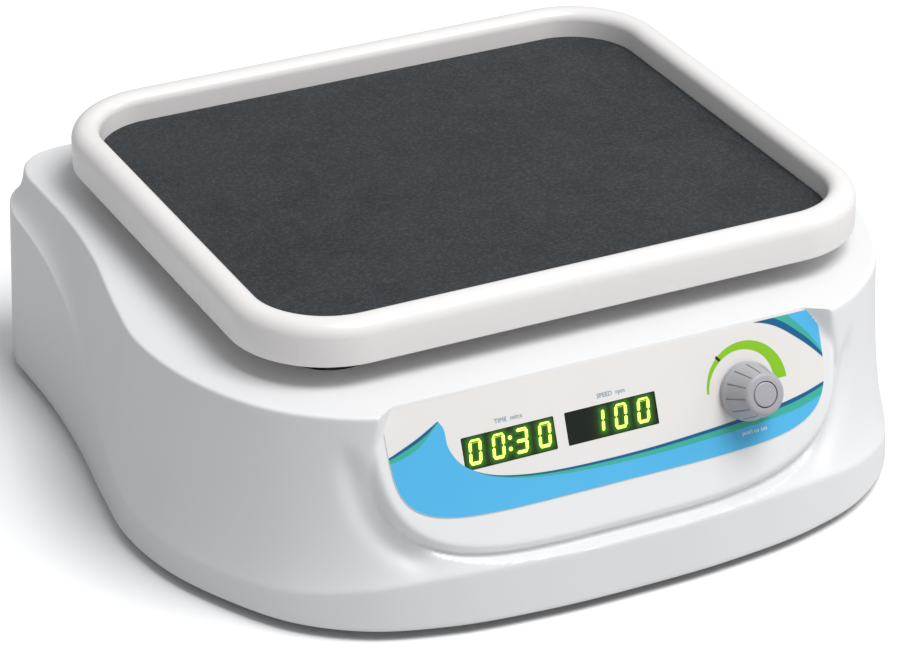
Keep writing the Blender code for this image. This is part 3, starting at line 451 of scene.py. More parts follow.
def buildShell(s=shell):
    plan = samplePlan(s["plan"], s["steps"])
    bottom, deck, crease = plan[:, :2], plan[:, 2:4], plan[:, 4]
    inBottom, inDeck = inwardNormals(bottom), inwardNormals(deck)
    deckHeight = deckZ / mm
    rows = []

    def addRow(line, z):
        rows.append(np.column_stack([line, np.broadcast_to(z, (len(line),))]))

    upright = np.clip((bottom[:, 1].max() - bottom[:, 1]) / 12.0, 0.25, 1.0)

    def plinthLine(z):
        return bottom + inBottom * (s["draft"] * upright * (z - s["bottomZ"]))[:, None]

    for inset, rise in ((0.7, 0.0), (0.2, 0.15), (0.0, 0.6)):
        addRow(bottom + inBottom * inset, s["bottomZ"] + rise)
    plinthRows = 16
    for k in range(1, plinthRows + 1):
        z = s["bottomZ"] + 0.6 + (crease - 1.2 - s["bottomZ"] - 0.6) * k / plinthRows
        addRow(plinthLine(z), z)
    lean = plinthLine(crease)
    edgeZ = deckHeight - s["edgeRound"]

    def flank(t):
        across = 3 * (1 - t) ** 2 * t * 0.58 + 3 * (1 - t) * t * t * 0.88 + t**3
        upward = 3 * (1 - t) ** 2 * t * 0.20 + 3 * (1 - t) * t * t * 0.55 + t**3
        return lean + (deck - lean) * across, crease + (edgeZ - crease) * upward

    startLine, startZ = rows[-1][:, :2], rows[-1][:, 2]
    endLine, endZ = flank(0.03)
    for t in (0.3, 0.5, 0.7):
        line = startLine * (1 - t) ** 2 + lean * 2 * t * (1 - t) + endLine * t * t
        addRow(line, startZ * (1 - t) ** 2 + crease * 2 * t * (1 - t) + endZ * t * t)
    for t in [*np.linspace(0.03, 0.15, 12), *np.linspace(0.17, 1.0, 44)]:
        line, z = flank(t)
        addRow(line, z)
    for turn in (22.5, 45, 67.5, 90):
        turn = math.radians(turn)
        inset = s["edgeRound"] * (1 - math.cos(turn))
        addRow(deck + inDeck * inset, edgeZ + s["edgeRound"] * math.sin(turn))
    # the deck's border narrows to the fold above the panel
    x, y = deck[:, 0] - panelX / mm, deck[:, 1]
    foldY = foldPoint.y / mm
    front = (y < -60).astype(float)  # 1 along the front half of the outline
    toFold = foldY - np.clip(np.abs(x) - s["cheekHalf"], 0, None) * 0.667 - y
    width = np.where(np.abs(x) < 91, np.maximum(toFold, 1.6), 1.6 + 11.4 * easeStep(91, 125, np.abs(x)))
    width = np.where(front > 0, width, 13.0)
    side = (easeStep(90, 118, np.abs(x)) * front + (1 - front))[:, None]
    heading = inDeck * side + np.array([0.0, 1.0]) * (1 - side)
    heading /= np.linalg.norm(heading, axis=1)[:, None]
    last = rows[-1][:, :2]
    for k in range(1, 13):
        v = k / 12
        line = last * (1 - v) + (deck + heading * np.maximum(width, s["edgeRound"] + 0.3)[:, None]) * v
        addRow(line, deckHeight)
    points = np.array(rows)
    # work the front in along the panel's normal
    flat = points.reshape(-1, 3)
    offset = flat - np.array(foldPoint) / mm
    across = offset[:, 0]
    drop = -(offset @ np.array(panelUp))
    body = offset @ np.array(panelOut)
    near = (flat[:, 1] < -85) & (np.abs(across) < 125) & (drop > -0.01) & (drop < 68)
    depth = frontDepth(across[near], drop[near], body[near])
    flat[near] += (depth - body[near])[:, None] * np.array(panelOut)
    return flat.reshape(points.shape) * mm


points = buildShell()
rowCount, columnCount = points.shape[:2]
quads = []
for row in range(rowCount - 1):
    for column in range(columnCount):
        after = (column + 1) % columnCount
        a, b = row * columnCount + column, row * columnCount + after
        quads.append((a, b, b + columnCount, a + columnCount))
housing = meshPiece("housing_shell", points.reshape(-1, 3).tolist(), quads)

openings = {
    "post": 17.5,
    "window": (18.9, 6.6),
    "knob": 5.4,
    "switch": (6.3, 9.3),
    "jack": 5.8,
}

# four round holes in the deck for the platform's posts, then the deck between them
editAll(housing)
bpy.ops.mesh.select_all(action="DESELECT")
shaftY = joints["drive_spin"]["pos_m"][1]
crankX, crankY = joints["platform_orbit"]["pos_m"][:2]
postSpots = []
for number in (1, 2, 3, 4):
    low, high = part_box(f"post_{number}")
    spot = ((low.x + high.x) / 2, (low.y + high.y) / 2)
    postSpots.append(spot)
    holeAt = (spot[0] - crankX, spot[1] - crankY + shaftY, deckZ)
    bpy.ops.mesh.primitive_circle_add(vertices=48, radius=openings["post"] * mm, location=holeAt)
bpy.ops.mesh.select_all(action="DESELECT")
bpy.ops.mesh.select_mode(type="EDGE")
form = bmesh.from_edit_mesh(housing.data)
for edge in form.edges:
    level = all(abs(v.co.z - deckZ) < 0.00001 for v in edge.verts)
    edge.select_set(level and len(edge.link_faces) < 2)
bmesh.update_edit_mesh(housing.data)
bpy.ops.mesh.fill(use_beauty=True)
bpy.ops.object.mode_set(mode="OBJECT")
print("housing skin:", len(housing.data.vertices), "points")


def openSkin(piece, centre, sideways, upward, halfWidth, halfHeight, reach, count=0):
    # cuts a straight-sided window, or a round one of 'count' sides, through the skin near a place
    centre, sideways, upward = Vector(centre), Vector(sideways), Vector(upward)
    through = sideways.cross(upward)
    pick(piece)
    bpy.ops.object.mode_set(mode="EDIT")
    form = bmesh.from_edit_mesh(piece.data)
    if count:
        turns = [math.tau * i / count for i in range(count)]
        walls = [(sideways * math.cos(a) + upward * math.sin(a), halfWidth) for a in turns]
    else:
        walls = [(sideways, halfWidth), (-sideways, halfWidth), (upward, halfHeight), (-upward, halfHeight)]
    size = max(halfWidth, halfHeight) * mm

    def nearFaces():
        found = []
        for face in form.faces:
            offset = face.calc_center_median() - centre
            if abs(offset.dot(through)) > reach * mm:
                continue
            if abs(offset.dot(sideways)) < size + 0.004 and abs(offset.dot(upward)) < size + 0.004:
                found.append(face)
        return found

    for direction, distance in walls:
        faces = nearFaces()
        edges = {edge for face in faces for edge in face.edges}
        points = {vertex for face in faces for vertex in face.verts}
        bmesh.ops.bisect_plane(
            form, geom=[*faces, *edges, *points], plane_co=centre + direction * distance * mm,
            plane_no=direction, dist=1e-7,
        )
    inside = []
    for face in nearFaces():
        offset = face.calc_center_median() - centre
        if all(offset.dot(direction) < distance * mm for direction, distance in walls):
            inside.append(face)
    bmesh.ops.delete(form, geom=inside, context="FACES")
    bmesh.update_edit_mesh(piece.data)
    bpy.ops.object.mode_set(mode="OBJECT")


windowSpots = {}
for name in ("time_display", "speed_display"):
    low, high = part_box(name)
    windowSpots[name] = (low.x + high.x) / 2 - panelX
displayLow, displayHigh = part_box("time_display")
frontMiddle = Vector((0, (displayLow.y + displayHigh.y) / 2, (displayLow.z + displayHigh.z) / 2)) - foldPoint
windowDrop = -frontMiddle.dot(panelUp) / mm
sidewaysX, upZ = (1, 0, 0), (0, 0, 1)
for name, x in windowSpots.items():
    openSkin(housing, onPanel(x / mm, windowDrop), sidewaysX, panelUp, *openings["window"], 3.0)
openSkin(housing, knobSpot, sidewaysX, panelUp, openings["knob"], openings["knob"], 3.0, 24)
switchLow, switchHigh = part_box("switch_body")
jackLow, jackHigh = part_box("power_jack")
rearY = 0.1381
switchSpot = Vector(((switchLow.x + switchHigh.x) / 2, rearY, (switchLow.z + switchHigh.z) / 2))
jackSpot = Vector(((jackLow.x + jackHigh.x) / 2, rearY, (jackLow.z + jackHigh.z) / 2))
openSkin(housing, switchSpot, sidewaysX, upZ, *openings["switch"], 4.0)
openSkin(housing, jackSpot, sidewaysX, upZ, openings["jack"], openings["jack"], 4.0, 24)
outward(housing)
useModifier(housing, "SOLIDIFY", thickness=shell["wall"] * mm, offset=-1.0)
settle(housing, finishes["shell"], 38.0)
rideOn(housing, "base", "shell", "housing")
print("housing done:", len(housing.data.polygons), "faces")


# Platform: a rounded tray with a soft rim, hollow under the rim, and its rubber mat.
tray = {
    "corner": 38.0,
    "cornerSteps": 24,
    "rim": 10.8,
    "outerRound": 5.6,
    "innerRound": 4.2,
    "lipRound": 0.8,
    "skirt": 3.2,
    "skirtHollow": 4.2,
    "hollowDeep": 0.8,
    "matGap": 0.1,
    "matRound": 0.45,
}
trayLow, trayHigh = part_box("tray")
matLow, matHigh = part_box("mat")


def roundedSlab(name, low, high, corner, steps):
    bpy.ops.mesh.primitive_plane_add(size=1, location=((low.x + high.x) / 2, (low.y + high.y) / 2, low.z))
    slab = bpy.context.object
    slab.name = name
    bpy.ops.object.mode_set(mode="EDIT")
    bpy.ops.mesh.select_all(action="SELECT")
    bpy.ops.transform.resize(value=(high.x - low.x, high.y - low.y, 1))
    bpy.ops.mesh.bevel(offset=corner * mm, segments=steps, affect="VERTICES")
    bpy.ops.mesh.select_all(action="SELECT")
    bpy.ops.mesh.extrude_region_move(TRANSFORM_OT_translate={"value": (0, 0, high.z - low.z)})
    bpy.ops.mesh.select_all(action="SELECT")
    bpy.ops.mesh.normals_make_consistent(inside=False)
    return slab


def farOut(point, halfX, halfY, corner):
    # signed distance outside a rounded rectangle about the origin
    qx, qy = abs(point.x) - halfX + corner, abs(point.y) - halfY + corner
    return math.hypot(max(qx, 0), max(qy, 0)) + min(max(qx, qy), 0) - corner


def buildTray(t=tray):
    slab = roundedSlab("tray_shell", trayLow, trayHigh, t["corner"], t["cornerSteps"])
    height = trayHigh.z - trayLow.z
    floorDrop = trayHigh.z - matLow.z + 0.0003
    selectWhere("FACE", lambda c, n: n.z > 0.9)
    bpy.ops.mesh.inset(thickness=t["rim"] * mm)
    bpy.ops.mesh.extrude_region_move(TRANSFORM_OT_translate={"value": (0, 0, -floorDrop)})
    selectWhere("FACE", lambda c, n: n.z < -0.9)
    bpy.ops.mesh.inset(thickness=t["skirt"] * mm)
    bpy.ops.mesh.inset(thickness=t["skirtHollow"] * mm)
    selectWhere("FACE", lambda c, n: n.z < -0.9 and abs(c.x) < 0.001 and abs(c.y) < 0.001)
    bpy.ops.mesh.extrude_region_move(TRANSFORM_OT_translate={"value": (0, 0, t["hollowDeep"] * mm)})
    half = (trayHigh - trayLow) / 2

    def onLoop(level, inset):
        # a test for the edges of one rounded loop: its height and its distance inside the outline
        def near(p):
            out = farOut(p, half.x, half.y, t["corner"] * mm)
            return abs(p.z - level) < 1e-6 and abs(out + inset) < 2e-4

        return lambda a, b: near(a) and near(b)

    for level, inset, size, steps in (
        (height, 0.0, t["outerRound"], 10), (height, t["rim"] * mm, t["innerRound"], 8), (0.0, 0.0, t["lipRound"], 4)
    ):
        selectWhere("EDGE", onLoop(level, inset))
        bpy.ops.mesh.bevel(offset=size * mm, segments=steps, affect="EDGES", profile=0.5)
    return slab


clearSelection()
trayPiece = settle(buildTray(), finishes["tray"], 50.0)
rideOn(trayPiece, "platform", "tray", "tray")
print("tray done:", len(trayPiece.data.polygons), "faces")

clearSelection()
mat = roundedSlab("mat_pad", matLow, matHigh, tray["corner"] - tray["rim"] - tray["matGap"], 20)
padHeight = matHigh.z - matLow.z
selectWhere("EDGE", lambda a, b: abs(a.z - padHeight) < 1e-6 and abs(b.z - padHeight) < 1e-6)
bpy.ops.mesh.bevel(offset=tray["matRound"] * mm, segments=3, affect="EDGES")
settle(mat, finishes["mat"], 40.0)
rideOn(mat, "platform", "mat", "mat")
print("mat done")

# Posts between the deck and the platform.
post = {"radius": 6.0, "foot": 5.5, "round": 0.5}
for number in (1, 2, 3, 4):
    low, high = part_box(f"post_{number}")
    clearSelection()
    spot = postSpots[number - 1]
    bpy.ops.mesh.primitive_cylinder_add(
        vertices=40, radius=post["radius"] * mm, depth=high.z - low.z - post["foot"] * mm,
        location=(*spot, (high.z + low.z + post["foot"] * mm) / 2),
    )
    piece = bpy.context.object
    piece.name = f"post_sleeve_{number}"
    editAll(piece)
    bpy.ops.mesh.bevel(offset=post["round"] * mm, segments=3, affect="EDGES")
    settle(piece, finishes["cast"], 30.0)
    rideOn(piece, "platform", "cast_aluminium", f"post_{number}")
print("posts done")


# The printed overlay on the panel, and its windows.
overlay = {
    "half": 87.2,
    "height": 45.5,
    "power": 5.4,
    "top": 0.9,
    "low": 0.03,
    "thick": 0.25,
    "ink": 0.03,
}
overlayTop = overlay["low"] + overlay["thick"]


def overlayOutline(steps=120):
    outline = []
    for i in range(steps + 1):
        a = math.pi * i / steps
        c = math.cos(a)
        x = -math.copysign(abs(c) ** (2 / overlay["power"]), c) * overlay["half"]
        drop = math.sin(a) ** (2 / overlay["power"]) * overlay["height"] if 0 < i < steps else 0.0
        outline.append((x, max(drop, overlay["top"])))
    return outline


def trimmed(outline):
    # the part of an outline that lies on the film, which is convex
    edge = overlayOutline(160)
    for a, b in zip(edge, edge[1:] + edge[:1]):
        ax, ay, bx, by = a[0] * 0.9985, a[1] * 0.998, b[0] * 0.9985, b[1] * 0.998
        ay, by = max(ay, overlay["top"] + 0.05), max(by, overlay["top"] + 0.05)

        def side(p):
            return (p[0] - ax) * (by - ay) - (p[1] - ay) * (bx - ax)

        if abs(ax - bx) + abs(ay - by) < 1e-6:
            continue
        kept = []
        for p, q in zip(outline, outline[1:] + outline[:1]):
            sp, sq = side(p), side(q)
            if sp >= 0:
                kept.append(p)
            if (sp > 0) != (sq > 0) and abs(sp - sq) > 1e-12:
                t = sp / (sp - sq)
                kept.append((p[0] + (q[0] - p[0]) * t, p[1] + (q[1] - p[1]) * t))
        outline = kept
        if not outline:
            break
    tidy = []
    for p in outline:
        if not tidy or math.dist(p, tidy[-1]) > 0.003:
            tidy.append(p)
    return tidy


def smoothLine(points, steps=10):
    # a soft curve through the points
    ends = [np.array(p, float) for p in points]
    ends = [2 * ends[0] - ends[1], *ends, 2 * ends[-1] - ends[-2]]
    line = []
    for a, b, c, d in zip(ends, ends[1:], ends[2:], ends[3:]):
        for step in range(steps):
            t = step / steps
            line.append(tuple(0.5 * (2 * b + (c - a) * t + (2 * a - 5 * b + 4 * c - d) * t * t
                                     + (3 * b - a - 3 * c + d) * t**3)))
    line.append(tuple(ends[-2]))
    return line


def printed(name, outlines, low, thick, material, slot="label", replaced=()):
    # a flat shape on the panel from outlines of (across, drop); later outlines are holes
    curve = bpy.data.curves.new(name, "CURVE")
    curve.dimensions = "2D"
    curve.fill_mode = "BOTH"
    curve.extrude = thick / 2 * mm
    for outline in outlines:
        spline = curve.splines.new("POLY")
        spline.points.add(len(outline) - 1)
        for point, (x, drop) in zip(spline.points, outline):
            point.co = (x * mm, -drop * mm, 0, 1)
        spline.use_cyclic_u = True
    piece = bpy.data.objects.new(name, curve)
    scene.collection.objects.link(piece)
    pick(piece)
    bpy.ops.object.convert(target="MESH")
    piece = bpy.context.object
    piece.matrix_world = panelMatrix @ Matrix.Translation((0, 0, (low + thick / 2) * mm))
    bpy.ops.object.transform_apply(location=True, rotation=True, scale=True)
    outward(piece)
    piece.data.materials.clear()
    piece.data.materials.append(material)
    return rideOn(piece, "base", slot, *replaced)


def box(x, drop, halfWidth, halfHeight, corner=0.5, steps=4):
    outline = []
    for quarter, (sx, sy) in enumerate(((1, 1), (-1, 1), (-1, -1), (1, -1))):
        for step in range(steps + 1):
            a = math.pi / 2 * (quarter + step / steps)
            outline.append((
                x + sx * (halfWidth - corner) + corner * math.cos(a),
                drop + sy * (halfHeight - corner) + corner * math.sin(a),
            ))
    return outline


def ring(x, drop, radius, steps=48):
    return [(x + radius * math.cos(math.tau * i / steps), drop + radius * math.sin(math.tau * i / steps))
            for i in range(steps)]


windowHalf = (18.2, 6.0)
windowOutlines = [box(x / mm, windowDrop, *windowHalf) for x in windowSpots.values()]
knobHole = ring(knobAcross / mm, knobDrop / mm, 5.2)
printed("overlay_film", [overlayOutline(), *windowOutlines, knobHole], overlay["low"], overlay["thick"],
        finishes["film"], "label", ("control_label",))

# printed colours: the band under the displays, the fin on its left and the corner on the right
inkLow = overlayTop + 0.005
bandTop = smoothLine(((-66.6, 8.7), (-64.9, 12.2), (-64.2, 19.0), (-60.1, 25.8), (-51.9, 30.9), (-39.5, 34.1),
                      (-21.2, 35.9), (7.2, 36.3), (33.6, 35.2), (59.2, 33.3), (76.5, 30.6), (90.0, 26.8)))
finEdge = smoothLine(((-90.0, 18.4), (-81.5, 15.4), (-74.5, 12.6), (-66.6, 8.7)))
cornerArc = smoothLine(((58.0, 0.3), (60.9, 0.9), (66.8, 2.7), (72.3, 5.8), (79.8, 11.9), (85.0, 17.0), (90.0, 23.0)))


def stripe(line, widths, shifts=(0.0, 0.0)):
    # a strip beside a line; its width and its distance from the line change along it
    line = np.array(line)
    along = np.gradient(line, axis=0)
    along /= np.linalg.norm(along, axis=1)[:, None]
    side = np.stack([-along[:, 1], along[:, 0]], 1)
    t = np.linspace(0, 1, len(line))
    near = np.interp(t, np.linspace(0, 1, len(shifts)), shifts)
    far = near + np.interp(t, np.linspace(0, 1, len(widths)), widths)
    return [tuple(p) for p in line + side * near[:, None]] + [tuple(p) for p in (line + side * far[:, None])[::-1]]


def ink(name, outline, level, material):
    shape = trimmed(outline)
    return printed(name, [shape], inkLow + 0.035 * level, overlay["ink"], material)


run = bandTop[36:]
arcUp = cornerArc[::-1]
ink("ink_band", finEdge + bandTop[1:] + [(95, 60), (-95, 60), (-95, 18.4)], 0, finishes["sky"])
ink("ink_band_green", stripe(run, (0.02, 0.5, 1.1, 1.7, 2.3, 2.9, 2.6), (0.0, 0.4, 0.8, 1.1, 1.3, 1.4, 0.9)), 1,
    finishes["seaGreen"])
ink("ink_band_blue", stripe(run, (0.05, 0.5, 0.8, 1.05, 1.25, 1.5, 0.9)), 2, finishes["deepBlue"])
ink("ink_fin_green", stripe(finEdge, (1.2, 2.2, 2.6, 2.4, 1.4, 0.1), (0.3, 0.6, 0.6, 0.3)), 1, finishes["seaGreen"])
ink("ink_fin_blue", stripe(finEdge, (0.5, 0.9, 1.1, 1.2, 1.1, 0.15)), 2, finishes["deepBlue"])
ink("ink_corner_sky", cornerArc + [(95, 23), (95, -3), (58, -3)], 0, finishes["sky"])
ink("ink_corner_green", stripe(arcUp, (0.1, 1.0, 2.2, 3.4, 4.6, 5.2, 5.0), (0.1, 0.9, 1.5, 2.0, 2.0, 1.6, 0.8)), 1,
    finishes["seaGreen"])
ink("ink_corner_blue", stripe(arcUp, (0.1, 1.2, 2.0, 2.4, 2.5, 1.6, 0.2)), 2, finishes["deepBlue"])

# the speed scale round the knob: a crescent that grows clockwise
crescent = {"x": 54.7, "drop": 22.9, "outer": 16.4, "start": 181.0, "end": 360.0, "thin": 0.9, "thick": 5.4}
outerArc, innerArc = [], []
for i in range(61):
    t = i / 60
    a = math.radians(crescent["start"] + (crescent["end"] - crescent["start"]) * t)
    wide = crescent["thin"] + (crescent["thick"] - crescent["thin"]) * t**1.1
    for radius, arc in ((crescent["outer"], outerArc), (crescent["outer"] - wide, innerArc)):
        arc.append((crescent["x"] + radius * math.cos(a), crescent["drop"] + radius * math.sin(a)))
ink("ink_crescent", outerArc + innerArc[::-1], 0, finishes["lime"])
a = math.radians(crescent["start"] + 49)
tick = [(crescent["x"] + r * math.cos(a + w), crescent["drop"] + r * math.sin(a + w))
        for r, w in ((14.6, -0.035), (16.9, -0.03), (16.9, 0.03), (14.6, 0.035))]
ink("ink_tick", tick, 1, finishes["inkDark"])


def lettering(name, words, size, x, drop, material):
    curve = bpy.data.curves.new(name, "FONT")
    curve.body = words
    curve.size = size * mm
    curve.align_x = "CENTER"
    curve.align_y = "CENTER"
    curve.extrude = overlay["ink"] / 2 * mm
    curve.resolution_u = 3
    piece = bpy.data.objects.new(name, curve)
    scene.collection.objects.link(piece)
    pick(piece)
    bpy.ops.object.convert(target="MESH")
    piece = bpy.context.object
    piece.matrix_world = panelMatrix @ Matrix.Translation((x * mm, -drop * mm, (inkLow + 0.09) * mm))
    bpy.ops.object.transform_apply(location=True, rotation=True, scale=True)
    outward(piece)
    piece.data.materials.clear()
    piece.data.materials.append(material)
    return rideOn(piece, "base", "label")


timeX, speedX = windowSpots["time_display"] / mm, windowSpots["speed_display"] / mm
lettering("caption_time", "TIME  min:s", 2.3, timeX + 1.0, 13.6, finishes["caption"])
lettering("caption_speed", "SPEED  rpm", 2.3, speedX + 1.0, 13.6, finishes["caption"])
lettering("caption_knob", "push to set", 2.3, 55.0, 39.6, finishes["captionWhite"])
print("overlay done")


# Displays: a dark lens in each window, with lit figures.
readout = {
    "figureHigh": 9.0,
    "figureWide": 5.0,
    "stroke": 1.15,
    "pitch": 9.1,
    "slant": 0.10,
    "lensOut": -0.35,
    "lensThick": 1.6,
}
litSegments = {"0": "abcdef", "1": "bc", "3": "abcdg", " ": ""}
segmentPlaces = {
    "a": (0, 1, 1), "b": (0.5, 0.5, 0), "c": (0.5, -0.5, 0), "d": (0, -1, 1),
    "e": (-0.5, -0.5, 0), "f": (-0.5, 0.5, 0), "g": (0, 0, 1),
}


def emissive(name, colour, glow, strength):
    made = bpy.data.materials.new(name)
    made.use_nodes = True
    tree = made.node_tree
    principled = tree.nodes["Principled BSDF"]
    place = addNode(tree, "TexCoord")
    grain = addNode(tree, "TexNoise", None, {"Scale": 900.0, "Detail": 2.0})
    link(tree, place.outputs["Object"], grain.inputs["Vector"])
    mix = addNode(tree, "Mix", {"data_type": "RGBA"})
    link(tree, grain.outputs["Fac"], mix.inputs["Factor"])
    mix.inputs[6].default_value = (*glow, 1)
    mix.inputs[7].default_value = (*[value * 0.82 for value in glow], 1)
    link(tree, mix.outputs[2], principled.inputs["Emission Color"])
    principled.inputs["Base Color"].default_value = (*colour, 1)
    principled.inputs["Emission Strength"].default_value = strength
    principled.inputs["Roughness"].default_value = 0.3
    return made


def lensFinish():
    made = bpy.data.materials.new("lensGreen")
    made.use_nodes = True
    tree = made.node_tree
    principled = tree.nodes["Principled BSDF"]
    halo = addNode(tree, "Attribute", {"attribute_name": "halo"})
    place = addNode(tree, "TexCoord")
    dust = addNode(tree, "TexNoise", None, {"Scale": 700.0, "Detail": 3.0})
    link(tree, place.outputs["Object"], dust.inputs["Vector"])
    mix = addNode(tree, "Mix", {"data_type": "RGBA"})
    link(tree, halo.outputs["Fac"], mix.inputs["Factor"])
    mix.inputs[6].default_value = (0.0006, 0.0012, 0.0006, 1)
    mix.inputs[7].default_value = (0.075, 0.34, 0.015, 1)
    link(tree, mix.outputs[2], principled.inputs["Emission Color"])
    rough = addNode(tree, "MapRange", None, {"To Min": 0.12, "To Max": 0.22})
    link(tree, dust.outputs["Fac"], rough.inputs["Value"])
    link(tree, rough.outputs["Result"], principled.inputs["Roughness"])
    principled.inputs["Base Color"].default_value = (0.004, 0.008, 0.004, 1)
    principled.inputs["Emission Strength"].default_value = 0.55
    return made


def segmentOutline(centreX, centreDrop, segment):
    sx, sy, level = segmentPlaces[segment]
    high, wide, stroke = readout["figureHigh"], readout["figureWide"], readout["stroke"]
    longHalf = (wide if level else high / 2) / 2 - stroke * 0.55
    x = sx * (wide - stroke)
    up = sy * (high - stroke) / 2
    tip = stroke / 2
    shape = ((-longHalf - tip * 0.4, 0), (-longHalf + tip * 0.5, tip), (longHalf - tip * 0.5, tip),
             (longHalf + tip * 0.4, 0), (longHalf - tip * 0.5, -tip), (-longHalf + tip * 0.5, -tip))
    outline = []
    for along, acrossStroke in shape:
        px, py = (along, acrossStroke) if level else (acrossStroke, along)
        px, py = px + x, py + up
        outline.append((centreX + px + py * readout["slant"], centreDrop - py))
    return outline


figureFinish = emissive("figureLit", (0.5, 0.7, 0.1), (0.62, 0.95, 0.10), 2.1)
lensMaterial = lensFinish()
for name, words, shift in (("time", "00:30", 0.6), ("speed", " 100", -0.6)):
    centre = windowSpots[name + "_display"] / mm
    lit, dots = [], []
    for place, figure in enumerate(words.replace(":", "")):
        x = centre + shift + (place - 1.5) * readout["pitch"]
        for segment in litSegments[figure]:
            lit.append(segmentOutline(x, windowDrop, segment))
    if ":" in words:
        for side in (-1, 1):
            dots.append(ring(centre + shift - side * 0.15, windowDrop + side * 2.0, 0.75, 16))
    printed(f"{name}_figures", lit + dots, readout["lensOut"] + 0.005, 0.03, figureFinish, "display")
    # the lens, with a halo that follows the lit strokes
    clearSelection()
    bpy.ops.mesh.primitive_grid_add(x_subdivisions=74, y_subdivisions=26, size=1)
    lens = bpy.context.object
    lens.name = f"{name}_lens"
    editAll(lens)
    bpy.ops.transform.resize(value=(2 * windowHalf[0] * mm, 2 * windowHalf[1] * mm, 1))
    bpy.ops.mesh.select_all(action="SELECT")
    bpy.ops.mesh.extrude_region_move(TRANSFORM_OT_translate={"value": (0, 0, -readout["lensThick"] * mm)})
    bpy.ops.object.mode_set(mode="OBJECT")
    strokes = []
    for outline in lit + dots:
        outline = np.array(outline)
        strokes.append((outline.min(0), outline.max(0)))
    halo = lens.data.attributes.new("halo", "FLOAT", "POINT")
    values = []
    for vertex in lens.data.vertices:
        spot = np.array((centre + vertex.co.x / mm, windowDrop - vertex.co.y / mm))
        reach = min(np.hypot(*np.maximum(np.maximum(a - spot, spot - b), 0)) for a, b in strokes)
        values.append(float(math.exp(-((reach / 0.95) ** 1.5)) * 0.8 + 0.16 * math.exp(-((reach / 3.0) ** 2))))
    halo.data.foreach_set("value", values)
    lens.matrix_world = panelMatrix @ Matrix.Translation((centre * mm, -windowDrop * mm, readout["lensOut"] * mm))
    pick(lens)
    bpy.ops.object.transform_apply(location=True, rotation=True, scale=True)
    outward(lens)
    settle(lens, lensMaterial, 30.0)
    rideOn(lens, "base", "display", f"{name}_display")
print("displays done")


# Knob: a ribbed cone on a skirt, with a disc let into its face.
knob = {
    "sides": 96,
    "ribs": 12,
    "low": 1.2,
    "high": 15.0,
    # height and radius up the cone
    "levels": ((3.4, 10.8), (4.0, 10.3), (6.5, 9.75), (9.0, 9.2), (12.0, 8.45), (14.0, 7.85), (14.7, 7.35),
               (15.0, 6.7)),
    "seat": 4.9,
    "seatDeep": 2.2,
    "disc": 4.5,
    "bore": 3.3,
    "boreDeep": 9.4,
    "notchDeep": 0.4,
}


def buildKnob(k=knob):
    clearSelection()
    skirtTop, base = k["levels"][0]
    bpy.ops.mesh.primitive_cylinder_add(
        vertices=k["sides"], radius=base * mm, depth=(skirtTop - k["low"]) * mm,
        location=(0, 0, (skirtTop + k["low"]) / 2 * mm),
    )
    piece = bpy.context.object
    piece.name = "knob_body"
    bpy.ops.object.transform_apply(location=True)
    bpy.ops.object.mode_set(mode="EDIT")

    def raiseTo(low, high, radiusLow, radiusHigh):
        selectWhere("FACE", lambda c, n: n.z > 0.9 and c.z > (low - 0.01) * mm and math.hypot(c.x, c.y) < 0.0005)
        bpy.ops.mesh.extrude_region_move(TRANSFORM_OT_translate={"value": (0, 0, (high - low) * mm)})
        ratio = radiusHigh / radiusLow
        bpy.ops.transform.resize(value=(ratio, ratio, 1))

    for (lowZ, lowR), (highZ, highR) in zip(k["levels"], k["levels"][1:]):
        raiseTo(lowZ, highZ, lowR, highR)
    selectWhere("FACE", lambda c, n: n.z > 0.9 and math.hypot(c.x, c.y) < 0.0005)
    bpy.ops.mesh.inset(thickness=(highR - k["seat"]) * mm)
    bpy.ops.mesh.extrude_region_move(TRANSFORM_OT_translate={"value": (0, 0, -k["seatDeep"] * mm)})
    selectWhere("FACE", lambda c, n: n.z < -0.9)
    bpy.ops.mesh.inset(thickness=(base - k["bore"]) * mm)
    bpy.ops.mesh.extrude_region_move(TRANSFORM_OT_translate={"value": (0, 0, k["boreDeep"] * mm)})
    # grip notches down the cone
    step = math.tau / k["sides"]
    every = k["sides"] // k["ribs"]

    def inNotch(c, n):
        if abs(n.z) > 0.6 or not 0.0042 < c.z < 0.0138 or math.hypot(c.x, c.y) < 0.0065:
            return False
        return round(math.atan2(c.y, c.x) / step - 0.5) % every == 0

    selectWhere("FACE", inNotch)
    bpy.ops.mesh.inset(thickness=0.00012, depth=-k["notchDeep"] * mm)
    outward(piece)
    return piece


knobMatrix = panelMatrix @ Matrix.Translation((knobAcross, -knobDrop, 0))
knobBody = buildKnob()
knobBody.matrix_world = knobMatrix
settle(knobBody, finishes["knob"], 32.0)
rideOn(knobBody, "knob_turner", "knob", "knob")

clearSelection()
bpy.ops.mesh.primitive_cylinder_add(
    vertices=72, radius=knob["disc"] * mm, depth=1.9 * mm, location=(0, 0, (knob["high"] - 1.1) * mm)
)
disc = bpy.context.object
disc.name = "knob_disc"
bpy.ops.object.transform_apply(location=True)
bpy.ops.object.mode_set(mode="EDIT")
selectWhere("FACE", lambda c, n: n.z > 0.9)
bpy.ops.mesh.inset(thickness=0.0004)
bpy.ops.transform.translate(value=(0, 0, 0.00025))
bpy.ops.mesh.inset(thickness=0.0011)
bpy.ops.mesh.inset(thickness=0.0010)
bpy.ops.transform.translate(value=(0, 0, 0.00008))
bpy.ops.object.mode_set(mode="OBJECT")
disc.matrix_world = knobMatrix
settle(disc, finishes["knob"], 30.0)
rideOn(disc, "knob_turner", "knob", "knob_cap")
print("knob done")

